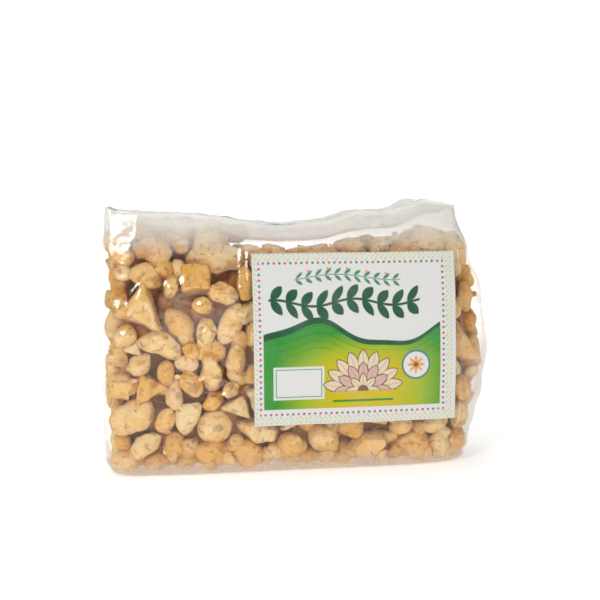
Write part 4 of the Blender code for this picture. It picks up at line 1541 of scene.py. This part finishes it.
# %% Light
world = bpy.data.worlds.new("white studio")
bpy.context.scene.world = world
world.use_nodes = True
tree = world.node_tree
sky = tree.nodes["Background"]
sky.inputs["Color"].default_value = (1.0, 0.995, 0.985, 1.0)
sky.inputs["Strength"].default_value = 0.40
seen = tree.nodes.new("ShaderNodeBackground")
seen.inputs["Strength"].default_value = 1.0
mirrored = tree.nodes.new("ShaderNodeBackground")
mirrored.inputs["Strength"].default_value = 0.20
path = tree.nodes.new("ShaderNodeLightPath")
lit = sky.outputs[0]
for kind, shown_there in (("Is Glossy Ray", mirrored), ("Is Camera Ray", seen)):
    blend = tree.nodes.new("ShaderNodeMixShader")
    tree.links.new(path.outputs[kind], blend.inputs[0])
    tree.links.new(lit, blend.inputs[1])
    tree.links.new(shown_there.outputs[0], blend.inputs[2])
    lit = blend.outputs[0]
tree.links.new(lit, tree.nodes["World Output"].inputs["Surface"])


def area_light(name, place, target, size, power, colour=(1, 1, 1)):
    data = bpy.data.lights.new(name, "AREA")
    data.shape = "RECTANGLE"
    data.size, data.size_y = size
    data.energy = power
    data.color = colour
    light = bpy.data.objects.new(name, data)
    light.location = place
    light.rotation_euler = (Vector(target) - Vector(place)).to_track_quat("-Z", "Y").to_euler()
    bpy.context.scene.collection.objects.link(light)
    return light


area_light("softbox", (-0.55, -0.85, 0.85), (0, 0, 0.06), (0.5, 0.5), 1.4)
area_light("key", (-0.5, -0.7, 0.62), (0, 0, 0.06), (0.22, 0.22), 1.9)
glint = area_light("glint disc", (-0.5, -0.7, 0.62), (0, 0, 0.06), (0.40, 0.40), 6.0)
glint.visible_diffuse = False
glint.data.shape = "DISK"
area_light("low fill", (0.25, -1.3, 0.12), (0, 0, 0.04), (1.0, 0.3), 2.4)
area_light("overhead", (-0.2, 0.25, 1.5), (0, 0.2, 0), (1.6, 1.2), 8.0)
area_light("backdrop light", (0.0, 0.9, 1.6), (0, 2.6, 0.6), (3.0, 0.8), 30.0)

# %% [markdown]
# ## Camera
#
# The camera stands a little to the left of the bag and a little above it, with a lens long enough to keep
# the sides nearly parallel. Its place was measured from the corners of the label and the ends of the bag.

# %% Camera
CAMERA_AZIMUTH, CAMERA_ELEVATION, CAMERA_ROLL = -8.09, 6.02, -0.39
CAMERA_DISTANCE = 522.4 * MM
CAMERA_TARGET = Vector((2.0, 0.0, 79.65)) * MM
CAMERA_LENS = 63.76

azimuth, elevation = math.radians(CAMERA_AZIMUTH), math.radians(CAMERA_ELEVATION)
back = Vector((math.sin(azimuth) * math.cos(elevation), -math.cos(azimuth) * math.cos(elevation),
               math.sin(elevation)))
camera_data = bpy.data.cameras.new("camera")
camera_data.lens = CAMERA_LENS
camera_data.sensor_width = 36.0
camera_data.clip_start = 0.01
camera = bpy.data.objects.new("camera", camera_data)
camera.location = CAMERA_TARGET + back * CAMERA_DISTANCE
look = (-back).to_track_quat("-Z", "Y").to_matrix() @ Matrix.Rotation(math.radians(CAMERA_ROLL), 3, "Z")
camera.rotation_euler = look.to_euler()
bpy.context.scene.collection.objects.link(camera)
bpy.context.scene.camera = camera
bpy.context.scene.view_settings.view_transform = "Standard"
print("camera at", [round(c, 3) for c in camera.location])
